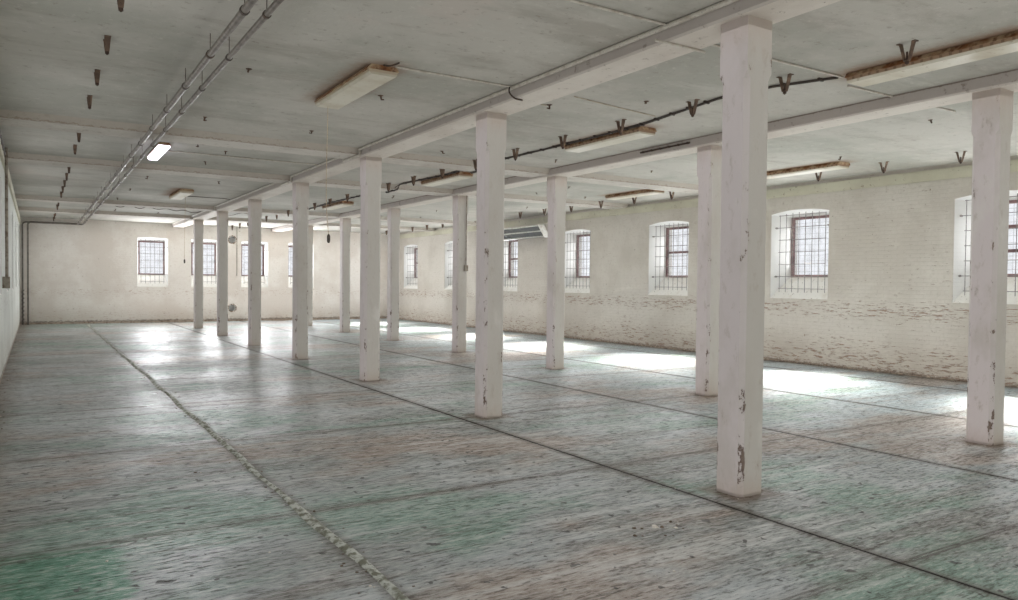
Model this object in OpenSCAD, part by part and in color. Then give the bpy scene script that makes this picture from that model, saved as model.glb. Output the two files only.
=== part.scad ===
// Three-aisled factory hall: brick walls, two column rows and a flat concrete ceiling.
// +Y runs along the hall to the far wall, +X to the right wall, z = 0 is the ground.

/* [Hall] */
// Spacing of the columns along the hall
bay_l = 4000; // [3700:50:4200]
// Number of columns in each row
col_count = 7; // [6:1:8]
// Last column line to the inner face of an end wall
end_bay = 4500; // [4350:50:5000]
// Spacing of the two column rows
row_gap = 3880; // [3500:20:4500]
// Column row to the inner face of a side wall
aisle_w = 5310; // [5000:10:6000]
// Floor surface to the underside of the ceiling
room_h = 3910; // [3800:10:4400]
// Thickness of the brick walls
wall_t = 640; // [600:10:900]

/* [Floor] */
// Ground to the floor surface
floor_t = 150; // [120:10:300]
// Thickness of the cast top strips
strip_t = 60; // [40:5:90]
// Width of one cast strip with its joint
strip_pitch = 2800; // [2500:50:3200]
// Width of a joint between two strips
joint_w = 14; // [8:1:30]
// Inner face of the left wall to the first joint
first_joint = 2110; // [1500:10:2300]

/* [Columns and beams] */
// Side of a square column
col_w = 280; // [240:10:340]
// Chamfer on the corners of a column shaft
col_chamfer = 36; // [20:2:50]
// Square head above the chamfers
col_head_h = 480; // [300:10:700]
// Slope that ends a chamfer
chamfer_stop = 60; // [30:5:100]
// Width of a long beam
beam_w = 420; // [380:10:500]
// Depth of the long beams below the ceiling
beam_drop = 140; // [120:5:200]
// Chamfer on the lower edges of a long beam
beam_chamfer = 18; // [10:1:30]
// Width of a ceiling rib at its underside
rib_w = 600; // [500:10:640]
// Sideways spread of a rib's sloping side
rib_splay = 60; // [40:5:85]
// Depth of a rib below the ceiling
rib_drop = 100; // [80:5:115]
// Ribs behind their column line
rib_shift = 300; // [200:10:400]

/* [Side windows] */
// Width of the opening at the inner face
side_win_w = 1470; // [1300:10:1600]
// Width of the opening at the frame
side_win_frame_w = 1020; // [900:10:1200]
// Rise of the inner arch
side_win_rise = 70; // [40:5:110]
// Window centre back from its column line
side_win_shift = 1580; // [1300:20:2000]

/* [End windows] */
// Width of the opening at the inner face
end_win_w = 1100; // [1000:10:1200]
// Width of the opening at the frame
end_win_frame_w = 960; // [850:10:1000]
// Rise of the inner arch
end_win_rise = 24; // [16:2:60]
// Spacing of the end windows
end_win_pitch = 1955; // [1800:5:2100]
// Centre of the group off the hall's centre line
end_win_shift = 85; // [0:5:150]

/* [Window heights] */
// Sill at the inner face above the floor
sill_h = 1400; // [1200:10:1500]
// Sill at the frame above the floor
frame_sill_h = 1870; // [1750:10:1950]
// Underside of the wall head above the floor
head_h = 3210; // [3100:10:3260]
// Crown of the inner arch above the wall head's underside
crown_lift = 130; // [90:5:180]
// Crown of the arch above the frame
crown_end = 36; // [20:2:60]
// Depth of the splayed reveal
splay_d = 420; // [380:10:450]
// Rise of the outer arch
outer_rise = 60; // [40:5:90]
// Fall of the outer sill
weathering = 18; // [8:1:30]

/* [Window frames] */
// Depth of a frame
frame_t = 70; // [50:5:100]
// Face width of a frame member
frame_face = 55; // [40:5:80]
// Thickness of a pane
glass_t = 8; // [5:1:15]

/* [Doorway] */
// Width of the doorway
door_w = 2400; // [2000:50:2600]
// Doorway centre to the inner face of the left wall
door_edge = 1650; // [1500:10:1800]
// Rise of the arch over the doorway
door_rise = 120; // [60:5:180]

/* [Roof] */
// Thickness of the ceiling slab
slab_t = 180; // [140:10:260]
// Thickness of the roof covering
roof_t = 60; // [30:5:100]
// Width of the roof's raised edge
edge_w = 300; // [200:10:450]
// Height of the roof's raised edge
edge_h = 240; // [150:10:400]

/* [Wall band] */
// Projection of the band along the side walls
band_t = 40; // [20:2:70]
// Height of the band
band_h = 200; // [120:10:260]
// Band's top below the ceiling
band_drop = 75; // [50:5:120]

/* [Lights] */
// Length of a long light
light_l = 1800; // [1500:20:1900]
// Length of the slim light
slim_light_l = 1450; // [1200:10:1600]
// Width of a long light
light_w = 340; // [300:10:360]
// Width of the slim light
slim_light_w = 200; // [160:10:260]
// Depth of a light's housing
housing_h = 46; // [30:2:80]
// Depth of a light's diffuser
diffuser_h = 54; // [30:2:80]

/* [Heating pipes] */
// Radius of the left pipe
flow_r = 30; // [24:1:50]
// Radius of the right pipe
return_r = 25; // [20:1:40]
// Left row of columns to the left pipe
flow_out = 3480; // [3400:10:3800]
// Spacing of the two pipes
pipe_gap = 165; // [140:5:175]
// Ceiling to the centre line of the pipes
pipe_drop = 190; // [180:5:300]
// Bend radius of the elbows
elbow_r = 110; // [80:5:150]
// Pipe hangers in each bay
hangers_per_bay = 3; // [2:1:4]

/* [Ceiling hooks] */
// Hooks in each bay
hooks_per_bay = 3; // [2:1:4]
// Right row of columns to the right row of hooks
hook_out = 4190; // [3950:10:4300]
// Left row of columns to the left row of hooks
left_hook_out = 4260; // [3950:10:4500]
// Depth of a hook
hook_h = 170; // [120:5:220]
// Depth of a hook in the left row
left_hook_h = 125; // [100:5:180]
// Width of a hook at the ceiling
hook_top_w = 130; // [90:5:180]
// Width of a hook at its bottom
hook_low_w = 50; // [30:5:80]
// Width of the strap at the ceiling
strap_w = 55; // [45:1:80]
// Width of the strap at the bottom of a hook
strap_low_w = 36; // [30:1:44]
// Thickness of the strap
strap_t = 8; // [5:1:12]

/* [Conduits] */
// Radius of the conduit along the left beam
beam_conduit_r = 22; // [15:1:30]
// Radius of the conduits across the ceiling
cross_conduit_r = 11; // [8:1:15]
// Radius of the cable along the middle aisle
aisle_cable_r = 14; // [8:1:20]

/* [Heater] */
// Length of the heater
heater_l = 3000; // [2000:50:3400]
// Height of its sloping face
heater_h = 350; // [250:10:400]
// Slope of the face, from the top edge back to the lower edge
heater_run = 260; // [150:10:300]
// Level width of its casing
heater_w = 200; // [120:10:260]
// Ceiling to the top of the heater
heater_drop = 430; // [400:10:500]
// Wall to the top edge of the face
heater_out = 870; // [800:10:950]

/* [Pull cords] */
// Radius of a cord
cord_r = 4; // [3:0.5:6]
// Radius of a pendant
pendant_r = 20; // [14:1:30]
// Length of a pendant
pendant_h = 110; // [80:5:160]
// Floor to the lower end of the front cord
cord_front_low = 2250; // [2100:10:2600]
// Floor to the lower end of the back cord
cord_back_low = 2210; // [2100:10:2600]

/* [Hidden] */

// Heights of the main levels above the ground
floor_z = floor_t;
sill_z = floor_z + sill_h;
frame_sill_z = floor_z + frame_sill_h;
head_z = floor_z + head_h;
ceiling_z = floor_z + room_h;
beam_z = ceiling_z - beam_drop;
rib_z = ceiling_z - rib_drop;
roof_z = ceiling_z + slab_t;
pipe_z = ceiling_z - pipe_drop;

// Half sizes of the room and of the whole building
half_w = row_gap / 2 + aisle_w;
half_l = (col_count - 1) / 2 * bay_l + end_bay;
out_w = half_w + wall_t;
out_l = half_l + wall_t;
row_x = row_gap / 2;

// Small cut past a face
past = 10;
// Fineness of arches, pipes and cords
arch_fn = 180;
round_fn = 48;
cord_fn = 8;

// Window centres: side windows follow the column lines, end windows stand in one group
col_lines = [for (i = [0 : col_count - 1]) (i - (col_count - 1) / 2) * bay_l];
side_wins = [for (i = [0 : col_count]) (i - (col_count - 1) / 2) * bay_l - side_win_shift];
end_wins = [for (i = [0 : 3]) end_win_shift + (i - 1.5) * end_win_pitch];
door_x = -half_w + door_edge;
// Cross bars in the side window frames, from the near wall on
side_bars = [0, 2, 0, 1, 0, 1, 0, 1, 0];
end_bars = [0, 0, 0, 0];

// Lights as [x, y, length, width]: left, middle and right aisle
slim_light = [-row_x - 3040, col_lines[2] + 2020, slim_light_l, slim_light_w];
light_spots = [[-row_x - 1765, col_lines[1] + 100, light_l, light_w],
    slim_light,
    [-row_x - 1660, col_lines[4] + 750, light_l, light_w],
    [620, col_lines[0] - 150, light_l, light_w],
    [620, col_lines[1] + 850, light_l, light_w],
    [620, col_lines[2] + 2200, light_l, light_w],
    [620, col_lines[4] + 1000, light_l, light_w],
    [row_x + 3620, col_lines[1] + 1100, light_l, light_w],
    [row_x + 3620, col_lines[2] + 1850, light_l, light_w]];

// Ribs cross the aisles from the third column line on, with none in the wide field in the middle
open_line = 4;
rib_lines = [for (i = [2 : col_count - 1]) if (i != open_line) col_lines[i] + rib_shift];
rib_half = rib_w / 2 + rib_splay;
function off_rib(y) = min([for (line = rib_lines) abs(y - line)]);

// Blind flue holes in the far wall as [x, height above the floor]
flues = [[150, 3370], [150, 540]];
flue_r = 135;
flue_d = 260;

// Surface pieces on the left wall, on a right column and on the far wall
riser_y = col_lines[3] - 550;
riser_r = 24;
switch_w = 130;
switch_d = 110;
switch_h = 200;
switch_low = 1500;
column_box = [90, 60, 140];
column_box_out = 80;
column_box_low = 1960;
far_conduit_x = 330;
far_conduit_low = 1870;

// Pipes keep this distance from the walls
pipe_wall_gap = 90;

// Heater place along the right wall, its rails, end plates and hanging rods
heater_y = col_lines[4] + 700;
rail_t = 14;
rail_h = 34;
bracket_t = 12;
bracket_edge = 18;
hanging_rod_r = 4;

// Pull cords as [x, y, height of the lower end]
front_cord = [-row_x - 1790, col_lines[1] + 900, floor_z + cord_front_low];
back_cord = [-row_x - 1560, col_lines[4] + 760, floor_z + cord_back_low];
// Sway of a cord as [share of its height from the lower end, sideways]
front_sway = [[1, 0], [0.9, -3], [0.8, -6], [0.7, -9], [0.6, -12], [0.5, -15], [0.42, -17], [0.34, -17],
    [0.27, -15], [0.2, -11], [0.14, -5], [0.09, 2], [0.04, 9], [0, 16]];
back_sway = [[1, 0], [0.9, -1], [0.8, -3], [0.7, -5], [0.6, -8], [0.5, -11], [0.42, -14], [0.34, -16],
    [0.27, -18], [0.2, -20], [0.14, -21], [0.09, -21], [0.04, -20], [0, -18]];

function arch_radius(chord, rise) = (chord * chord / 4 + rise * rise) / (2 * rise);

// Walls are drawn along x with their inner face at y = 0, and then set on each side
module on_left() rotate([0, 0, 90]) translate([0, half_w, 0]) children();
module on_right() mirror([1, 0, 0]) on_left() children();
module on_far() translate([0, half_l, 0]) children();
module on_near() mirror([0, 1, 0]) on_far() children();

// Plan of one splayed opening
module opening_plan(w_in, w_out)
    polygon([[-w_in / 2, 0], [w_in / 2, 0], [w_out / 2, splay_d], [w_out / 2, wall_t],
        [-w_out / 2, wall_t], [-w_out / 2, splay_d]]);

// Solid of an arched soffit that falls from the inner face to the frame
module inner_arch_cut(w_in, w_out, rise) {
    radius = arch_radius(w_in, rise);
    fall = atan((crown_lift - crown_end) / splay_d);
    intersection() {
        translate([0, 0, head_z - past])
            linear_extrude(height = crown_lift + 2 * past)
                polygon([[-w_in / 2 - past, -past], [w_in / 2 + past, -past], [w_in / 2, 0],
                    [w_out / 2, splay_d], [-w_out / 2, splay_d], [-w_in / 2, 0]]);
        translate([0, 0, head_z + crown_lift])
            rotate([-fall, 0, 0])
                translate([0, -splay_d, -radius])
                    rotate([-90, 0, 0])
                        cylinder(h = 3 * splay_d, r = radius, $fn = arch_fn);
    }
}

// Segmental recess above a frame on the outside
module outer_arch_cut(w_out) {
    radius = arch_radius(w_out, outer_rise);
    translate([0, splay_d + frame_t, head_z + outer_rise - radius])
        rotate([-90, 0, 0])
            cylinder(h = wall_t - splay_d - frame_t + past, r = radius, $fn = arch_fn);
}

// Arch through the whole wall over the doorway
module door_arch_cut() {
    radius = arch_radius(door_w, door_rise);
    translate([door_x, -past, head_z + door_rise - radius])
        rotate([-90, 0, 0])
            cylinder(h = wall_t + 2 * past, r = radius, $fn = arch_fn);
}

module wall_slab(from_x, to_x, low, high)
    translate([from_x, 0, low])
        cube([to_x - from_x, wall_t, high - low]);

// Pier between two openings given as [centre, inner width, frame width]
module pier(left, right)
    translate([0, 0, sill_z])
        linear_extrude(height = head_z - sill_z)
            polygon([[left[0] + left[1] / 2, 0], [right[0] - right[1] / 2, 0], [right[0] - right[2] / 2, splay_d],
                [right[0] - right[2] / 2, wall_t], [left[0] + left[2] / 2, wall_t],
                [left[0] + left[2] / 2, splay_d]]);

// Row of piers from one end of a wall to the other
module piers(half_run, holes) {
    stops = concat([[-half_run, 0, 0]], holes, [[half_run, 0, 0]]);
    for (i = [0 : len(stops) - 2])
        pier(stops[i], stops[i + 1]);
}

module wall_head(half_run, holes, rise)
    difference() {
        wall_slab(-half_run, half_run, head_z, ceiling_z);
        for (hole = holes)
            translate([hole[0], 0, 0]) {
                inner_arch_cut(hole[1], hole[2], rise);
                outer_arch_cut(hole[2]);
            }
    }

module flue_holes()
    for (flue = flues)
        translate([flue[0], -past, floor_z + flue[1]])
            rotate([-90, 0, 0])
                cylinder(h = flue_d + past, r = flue_r, $fn = round_fn);

side_holes = [for (y = side_wins) [y, side_win_w, side_win_frame_w]];
end_holes = [for (x = end_wins) [x, end_win_w, end_win_frame_w]];
near_holes = concat([[door_x, door_w, door_w]], end_holes);

module side_base() wall_slab(-out_l, out_l, 0, sill_z);
module side_piers() piers(out_l, side_holes);
module side_head() wall_head(out_l, side_holes, side_win_rise);

module far_wall_base()
    color("tan")
        on_far()
            difference() {
                wall_slab(-half_w, half_w, 0, sill_z);
                flue_holes();
            }

module far_wall_head()
    color("tan")
        on_far()
            difference() {
                wall_head(half_w, end_holes, end_win_rise);
                flue_holes();
            }

module near_wall_base()
    color("tan")
        on_near() {
            wall_slab(-half_w, door_x - door_w / 2, 0, sill_z);
            wall_slab(door_x + door_w / 2, half_w, 0, sill_z);
        }

module near_wall_head()
    color("tan")
        on_near()
            difference() {
                wall_head(half_w, end_holes, end_win_rise);
                door_arch_cut();
            }

// Steep inner sill that ends under the frame and falls again outside
module window_sill(w_in, w_out)
    intersection() {
        translate([-w_in / 2, 0, 0])
            rotate([90, 0, 90])
                linear_extrude(height = w_in)
                    polygon([[0, sill_z], [splay_d, frame_sill_z], [splay_d + frame_t, frame_sill_z],
                        [wall_t, frame_sill_z - weathering], [wall_t, sill_z]]);
        linear_extrude(height = head_z)
            opening_plan(w_in, w_out);
    }

// Height of one light in a frame with some cross bars
function light_h(bars) = (head_z - frame_sill_z - (bars + 2) * frame_face) / (bars + 1);
function light_low(bars, i) = frame_sill_z + frame_face + i * (light_h(bars) + frame_face);

module window_frame(w, bars)
    difference() {
        translate([-w / 2, splay_d, frame_sill_z])
            cube([w, frame_t, head_z - frame_sill_z]);
        for (i = [0 : bars])
            translate([-w / 2 + frame_face, splay_d - past, light_low(bars, i)])
                cube([w - 2 * frame_face, frame_t + 2 * past, light_h(bars)]);
    }

module window_panes(w, bars)
    for (i = [0 : bars])
        translate([-w / 2 + frame_face, splay_d + (frame_t - glass_t) / 2, light_low(bars, i)])
            cube([w - 2 * frame_face, glass_t, light_h(bars)]);

module side_frames()
    for (i = [0 : len(side_wins) - 1])
        translate([side_wins[i], 0, 0])
            window_frame(side_win_frame_w, side_bars[i]);

module side_panes()
    for (i = [0 : len(side_wins) - 1])
        translate([side_wins[i], 0, 0])
            window_panes(side_win_frame_w, side_bars[i]);

module end_frames()
    for (i = [0 : len(end_wins) - 1])
        translate([end_wins[i], 0, 0])
            window_frame(end_win_frame_w, end_bars[i]);

module end_panes()
    for (i = [0 : len(end_wins) - 1])
        translate([end_wins[i], 0, 0])
            window_panes(end_win_frame_w, end_bars[i]);

module side_sills()
    for (y = side_wins)
        translate([y, 0, 0])
            window_sill(side_win_w, side_win_frame_w);

module end_sills()
    for (x = end_wins)
        translate([x, 0, 0])
            window_sill(end_win_w, end_win_frame_w);

module floor_slab()
    color("gray")
        translate([-half_w, -half_l, 0])
            cube([2 * half_w, 2 * half_l, floor_t - strip_t]);

// Strips between the joints, the first and last one cut by the side walls
joints = [for (x = [-half_w + first_joint : strip_pitch : half_w - joint_w]) x];
strip_from = concat([-half_w], [for (x = joints) x + joint_w / 2]);
strip_to = concat([for (x = joints) x - joint_w / 2], [half_w]);

module floor_strips()
    color("darkseagreen")
        for (i = [0 : len(strip_from) - 1])
            translate([strip_from[i], -half_l, floor_t - strip_t])
                cube([strip_to[i] - strip_from[i], 2 * half_l, strip_t]);

module door_threshold()
    color("gray")
        on_near()
            translate([door_x - door_w / 2, 0, 0])
                cube([door_w, wall_t, floor_t]);

// Octagonal shaft below a square head, with the corner slopes cut between them
module column() {
    shaft_h = beam_z - floor_z - col_head_h;
    half = col_w / 2;
    difference() {
        translate([-half, -half, floor_z])
            cube([col_w, col_w, beam_z - floor_z]);
        for (corner = [0 : 3])
            rotate([0, 0, 90 * corner])
                translate([half, half, floor_z])
                    corner_cut(shaft_h);
    }
}

// Corner prism with a sloping top, in the vertical plane through the column's diagonal
module corner_cut(shaft_h) {
    leg = col_chamfer / sqrt(2);
    rotate([90, 0, 45])
        translate([0, 0, -col_w / 2])
            linear_extrude(height = col_w)
                polygon([[-leg, -past], [past, -past], [past, shaft_h + chamfer_stop * (1 + past / leg)],
                    [-leg, shaft_h]]);
}

module column_row(x)
    for (y = col_lines)
        translate([x, y, 0])
            column();

module long_beam(x)
    translate([x, half_l, beam_z])
        rotate([90, 0, 0])
            linear_extrude(height = 2 * half_l)
                polygon([[-beam_w / 2, beam_drop], [-beam_w / 2, beam_chamfer],
                    [-beam_w / 2 + beam_chamfer, 0], [beam_w / 2 - beam_chamfer, 0],
                    [beam_w / 2, beam_chamfer], [beam_w / 2, beam_drop]]);

beam_in = row_x - beam_w / 2;
beam_out = row_x + beam_w / 2;

// Each rib ends at the wall bands and at the beams, given as [from x, to x]
rib_spans = [[-half_w + band_t, -beam_out], [-beam_in, beam_in], [beam_out, half_w - band_t]];

module aisle_ribs()
    color("silver")
        for (y = rib_lines)
            for (span = rib_spans)
                translate([span[0], y, rib_z])
                    rotate([90, 0, 90])
                        linear_extrude(height = span[1] - span[0])
                            polygon([[-rib_w / 2, 0], [rib_w / 2, 0], [rib_half, rib_drop],
                                [-rib_half, rib_drop]]);

module wall_band()
    translate([-half_l, -band_t, ceiling_z - band_drop - band_h])
        cube([2 * half_l, band_t, band_h]);

module ceiling_slab()
    color("silver")
        translate([-out_w, -out_l, ceiling_z])
            cube([2 * out_w, 2 * out_l, slab_t]);

module roof_covering()
    color("dimgray")
        translate([-out_w + edge_w, -out_l + edge_w, roof_z])
            cube([2 * (out_w - edge_w), 2 * (out_l - edge_w), roof_t]);

module roof_edge()
    color("tan")
        difference() {
            translate([-out_w, -out_l, roof_z])
                cube([2 * out_w, 2 * out_l, edge_h]);
            translate([-out_w + edge_w, -out_l + edge_w, roof_z - past])
                cube([2 * (out_w - edge_w), 2 * (out_l - edge_w), edge_h + 2 * past]);
        }

// Profile of a light drawn from the ceiling down
housing_taper = 30;
diffuser_round = 22;

module along_y(length)
    translate([0, length / 2, 0])
        rotate([90, 0, 0])
            linear_extrude(height = length)
                children();

module light_housings()
    color("sienna")
        for (spot = light_spots)
            translate([spot[0], spot[1], ceiling_z - housing_h])
                along_y(spot[2])
                    polygon([[-spot[3] / 2, 0], [spot[3] / 2, 0], [spot[3] / 2 - housing_taper, housing_h],
                        [-spot[3] / 2 + housing_taper, housing_h]]);

// Section of a diffuser with its half width
module diffuser_section(half)
    polygon([[-half, diffuser_h], [-half, diffuser_round], [-half + diffuser_round, 0],
        [half - diffuser_round, 0], [half, diffuser_round], [half, diffuser_h]]);

module light_diffusers()
    color("ivory")
        for (spot = light_spots)
            translate([spot[0], spot[1], ceiling_z - housing_h - diffuser_h])
                along_y(spot[2] - housing_taper)
                    diffuser_section((spot[3] - housing_taper) / 2);

// Pipes as [x, y of the cross run, x of the drop, radius]: the right pipe passes outside the left one
flow_x = -row_x - flow_out;
return_x = flow_x + pipe_gap;
flow = [flow_x, half_l - pipe_wall_gap - pipe_gap, -half_w + pipe_wall_gap + pipe_gap, flow_r];
return = [return_x, half_l - pipe_wall_gap, -half_w + pipe_wall_gap, return_r];
pipes = [flow, return];

module rod_y(x, z, from_y, to_y, radius)
    translate([x, from_y, z])
        rotate([-90, 0, 0])
            cylinder(h = to_y - from_y, r = radius, $fn = round_fn);

module rod_x(y, z, from_x, to_x, radius)
    translate([from_x, y, z])
        rotate([0, 90, 0])
            cylinder(h = to_x - from_x, r = radius, $fn = round_fn);

module rod_z(x, y, from_z, to_z, radius)
    translate([x, y, from_z])
        cylinder(h = to_z - from_z, r = radius, $fn = round_fn);

module heating_pipes()
    color("dimgray")
        for (pipe = pipes) {
            rod_y(pipe[0], pipe_z, -half_l, pipe[1] - elbow_r, pipe[3]);
            rod_x(pipe[1], pipe_z, pipe[2] + elbow_r, pipe[0] - elbow_r, pipe[3]);
            rod_z(pipe[2], pipe[1], floor_z, pipe_z - elbow_r, pipe[3]);
        }

// Quarter bend from +Y to -X in the level plane
module level_elbow(radius)
    rotate_extrude(angle = 90, $fn = round_fn)
        translate([elbow_r, 0])
            circle(r = radius, $fn = round_fn);

module pipe_elbows()
    color("dimgray")
        for (pipe = pipes) {
            translate([pipe[0] - elbow_r, pipe[1] - elbow_r, pipe_z])
                level_elbow(pipe[3]);
            translate([pipe[2] + elbow_r, pipe[1], pipe_z - elbow_r])
                rotate([90, 0, 0])
                    rotate([0, 0, 90])
                        level_elbow(pipe[3]);
        }

// Hangers: a ring round the pipe and a rod to the ceiling, or to the rib above it
hanger_ring_t = 7;
hanger_ring_w = 34;
hanger_rod_w = 6;
hanger_from = 967;
hanger_pitch = bay_l / hangers_per_bay;
hanger_lines = [for (y = [-half_l + hanger_from : hanger_pitch : half_l - hanger_pitch / 2]) y];

// A hanger on the slope of a rib moves on to the ceiling behind it
function clear_y(y) = off_rib(y) > rib_half + hanger_rod_w || off_rib(y) < rib_w / 2 - hanger_ring_w
    ? y : y + 2 * rib_splay + hanger_ring_w;
function hanger_top(y) = off_rib(y) < rib_half ? rib_z : ceiling_z;

module hanger(x, y, radius)
    translate([x, y, pipe_z])
        rotate([90, 0, 0])
            translate([0, 0, -hanger_ring_w / 2])
                difference() {
                    union() {
                        cylinder(h = hanger_ring_w, r = radius + hanger_ring_t, $fn = round_fn);
                        translate([-hanger_rod_w / 2, 0, (hanger_ring_w - hanger_rod_w) / 2])
                            cube([hanger_rod_w, hanger_top(y) - pipe_z, hanger_rod_w]);
                    }
                    translate([0, 0, -past])
                        cylinder(h = hanger_ring_w + 2 * past, r = radius, $fn = round_fn);
                }

module pipe_hangers()
    color("darkgray")
        for (y = hanger_lines)
            for (pipe = pipes)
                hanger(pipe[0], clear_y(y), pipe[3]);

// Hook bent from flat strap that narrows downward: two feet on the ceiling, two legs and a short bottom
hook_foot = 25;
hook_half = hook_top_w / 2 + hook_foot;

module hook_bend(h)
    translate([-strap_w / 2, 0, 0])
        rotate([90, 0, 90])
            linear_extrude(height = strap_w)
                polygon([[-hook_half, h], [-hook_half, h - strap_t], [-hook_top_w / 2, h - strap_t],
                    [-hook_low_w / 2, 0], [hook_low_w / 2, 0], [hook_top_w / 2, h - strap_t],
                    [hook_half, h - strap_t], [hook_half, h], [hook_top_w / 2 - strap_t, h],
                    [hook_low_w / 2 - strap_t, strap_t], [-hook_low_w / 2 + strap_t, strap_t],
                    [-hook_top_w / 2 + strap_t, h]]);

module hook(h)
    translate([0, 0, -h])
        intersection() {
            hook_bend(h);
            translate([0, hook_half + past, 0])
                rotate([90, 0, 0])
                    linear_extrude(height = 2 * (hook_half + past))
                        polygon([[-strap_low_w / 2, 0], [strap_low_w / 2, 0], [strap_w / 2, h], [-strap_w / 2, h]]);
        }

hook_from = 313;
hook_end_gap = 450;
hook_pitch = bay_l / hooks_per_bay;
hook_lines = [for (y = [-half_l + hook_from : hook_pitch : half_l - hook_end_gap]) y];

module hook_row(x, lines, h)
    for (y = lines)
        translate([x, y, ceiling_z])
            hook(h);

// No row has a hook on a rib, the left row none close to one, the middle row none at the crossing conduit
free_lines = [for (y = hook_lines) if (off_rib(y) > rib_half + hook_half) y];

module ceiling_hooks()
    color("dimgray") {
        hook_row(-row_x - left_hook_out,
            [for (y = free_lines) if (off_rib(y) > rib_half + hook_top_w) y], left_hook_h);
        hook_row(0, [for (y = free_lines) if (abs(y - middle_run_y) > hook_top_w) y], hook_h);
        hook_row(row_x + hook_out, free_lines, hook_h);
    }

// Conduit along the left beam, on the ceiling and down under each rib
beam_conduit_x = -beam_out - beam_conduit_r;
conduit_z = ceiling_z - beam_conduit_r;
dip_z = rib_z - beam_conduit_r;
dip_half = rib_half + beam_conduit_r + past;
high_from = concat([-half_l], [for (y = rib_lines) y + dip_half - beam_conduit_r]);
high_to = concat([for (y = rib_lines) y - dip_half + beam_conduit_r], [half_l]);

module beam_conduit()
    color("lightgray") {
        for (i = [0 : len(high_from) - 1])
            rod_y(beam_conduit_x, conduit_z, high_from[i], high_to[i], beam_conduit_r);
        for (y = rib_lines) {
            rod_y(beam_conduit_x, dip_z, y - dip_half, y + dip_half, beam_conduit_r);
            for (side = [-1, 1])
                rod_z(beam_conduit_x, y + side * dip_half, dip_z, conduit_z, beam_conduit_r);
        }
    }

// Conduits under the ceiling or under the left beam as [y, from x, to x, top]
conduit_side = -beam_out - 2 * beam_conduit_r;
middle_run_y = col_lines[0] + 820;
cross_runs = [[col_lines[0] + 660, -row_x - 1440, conduit_side, ceiling_z],
    [col_lines[0] + 690, -beam_out - 130, -beam_in + 50, beam_z],
    [middle_run_y, -beam_in, 520, ceiling_z],
    [col_lines[0] + 1000, 880, beam_in, ceiling_z],
    [col_lines[0] + 1000, beam_out, row_x + 1160, ceiling_z],
    [col_lines[1] - 860, -row_x - 1660, conduit_side, ceiling_z],
    [slim_light[1] + 50, slim_light[0] + slim_light_w / 2, conduit_side, ceiling_z]];

module cross_conduits()
    color("white")
        for (run = cross_runs)
            rod_x(run[0], run[3] - cross_conduit_r, run[1], run[2], cross_conduit_r);

// Wavering cable along the middle aisle's ceiling, its bends as [y from the crossing conduit, x]
cable_bends = [[30, 480], [660, 220], [1390, 140], [3050, 400], [4080, 410], [5260, 400], [6440, 360], [8990, 400],
    [10900, 260], [13200, 380], [15900, 300], [18400, 390]];
cable_slope = 150;
function cable_point(y, drop) = [lookup(y - middle_run_y, cable_bends), y, ceiling_z - aisle_cable_r - drop];

// Where the cable passes a rib it slopes down, runs under the rib and slopes up again
function cable_dip(line) = [cable_point(line - rib_half - cable_slope, 0), cable_point(line - rib_half, rib_drop),
    cable_point(line + rib_half, rib_drop), cable_point(line + rib_half + cable_slope, 0)];
function cable_dips(from_y, to_y) = [for (line = rib_lines) if (line > from_y && line < to_y)
    for (p = cable_dip(line)) p];
cable_ys = [for (bend = cable_bends) if (off_rib(bend[0] + middle_run_y) > rib_half + 2 * cable_slope)
    bend[0] + middle_run_y];
cable_points = [for (i = [0 : len(cable_ys) - 1])
    for (p = concat(i == 0 ? [] : cable_dips(cable_ys[i - 1], cable_ys[i]), [cable_point(cable_ys[i], 0)])) p];

module aisle_cable()
    color("black")
        tube(cable_points, aisle_cable_r, [1, 0, 0], [0, 0, 1]);

// Heater: a leaning casing with rails along its face, and a hung plate at each end
module heater_place()
    translate([half_w - heater_out, heater_y, ceiling_z - heater_drop - heater_h])
        children();

// Section at one end of the face, with the face grown out by some millimetres
module heater_section(grown)
    polygon([[-grown, heater_h + grown], [heater_w + grown, heater_h + grown],
        [heater_w + heater_run + grown, -grown], [heater_run - grown, -grown]]);

module heater_casing()
    color("dimgray")
        heater_place()
            along_y(heater_l)
                heater_section(0);

function face_x(z) = heater_run * (1 - z / heater_h);

module heater_rails()
    color("gainsboro")
        heater_place()
            along_y(heater_l)
                for (low = [0, (heater_h - rail_h) / 2, heater_h - rail_h])
                    polygon([[face_x(low), low], [face_x(low + rail_h), low + rail_h],
                        [face_x(low + rail_h) - rail_t, low + rail_h], [face_x(low) - rail_t, low]]);

module heater_brackets()
    color("gainsboro")
        heater_place()
            for (side = [-1, 1])
                translate([0, side * (heater_l + bracket_t) / 2, 0]) {
                    along_y(bracket_t)
                        heater_section(bracket_edge);
                    for (x = [bracket_edge, heater_w])
                        translate([x, 0, heater_h])
                            cylinder(h = heater_drop, r = hanging_rod_r, $fn = round_fn);
                }

// Switch box on the left wall with a pipe up to the ceiling in front of the band
module wall_riser()
    color("gray")
        on_left() {
            translate([riser_y - switch_w / 2, -switch_d, floor_z + switch_low])
                cube([switch_w, switch_d, switch_h]);
            rod_z(riser_y, -band_t - riser_r, floor_z + switch_low + switch_h, ceiling_z, riser_r);
        }

// Conduit and box on the near face of one right column
module column_switch()
    color("lightgray")
        translate([row_x + column_box_out, col_lines[3] - col_w / 2, floor_z + column_box_low]) {
            rod_z(0, -column_box[1] / 2, column_box[2], beam_z - floor_z - column_box_low, cross_conduit_r);
            translate([-column_box[0] / 2, -column_box[1], 0])
                cube(column_box);
        }

module far_wall_conduit()
    color("gray")
        translate([far_conduit_x, half_l - cross_conduit_r, floor_z + far_conduit_low])
            cylinder(h = room_h - far_conduit_low, r = cross_conduit_r, $fn = round_fn);

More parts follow.
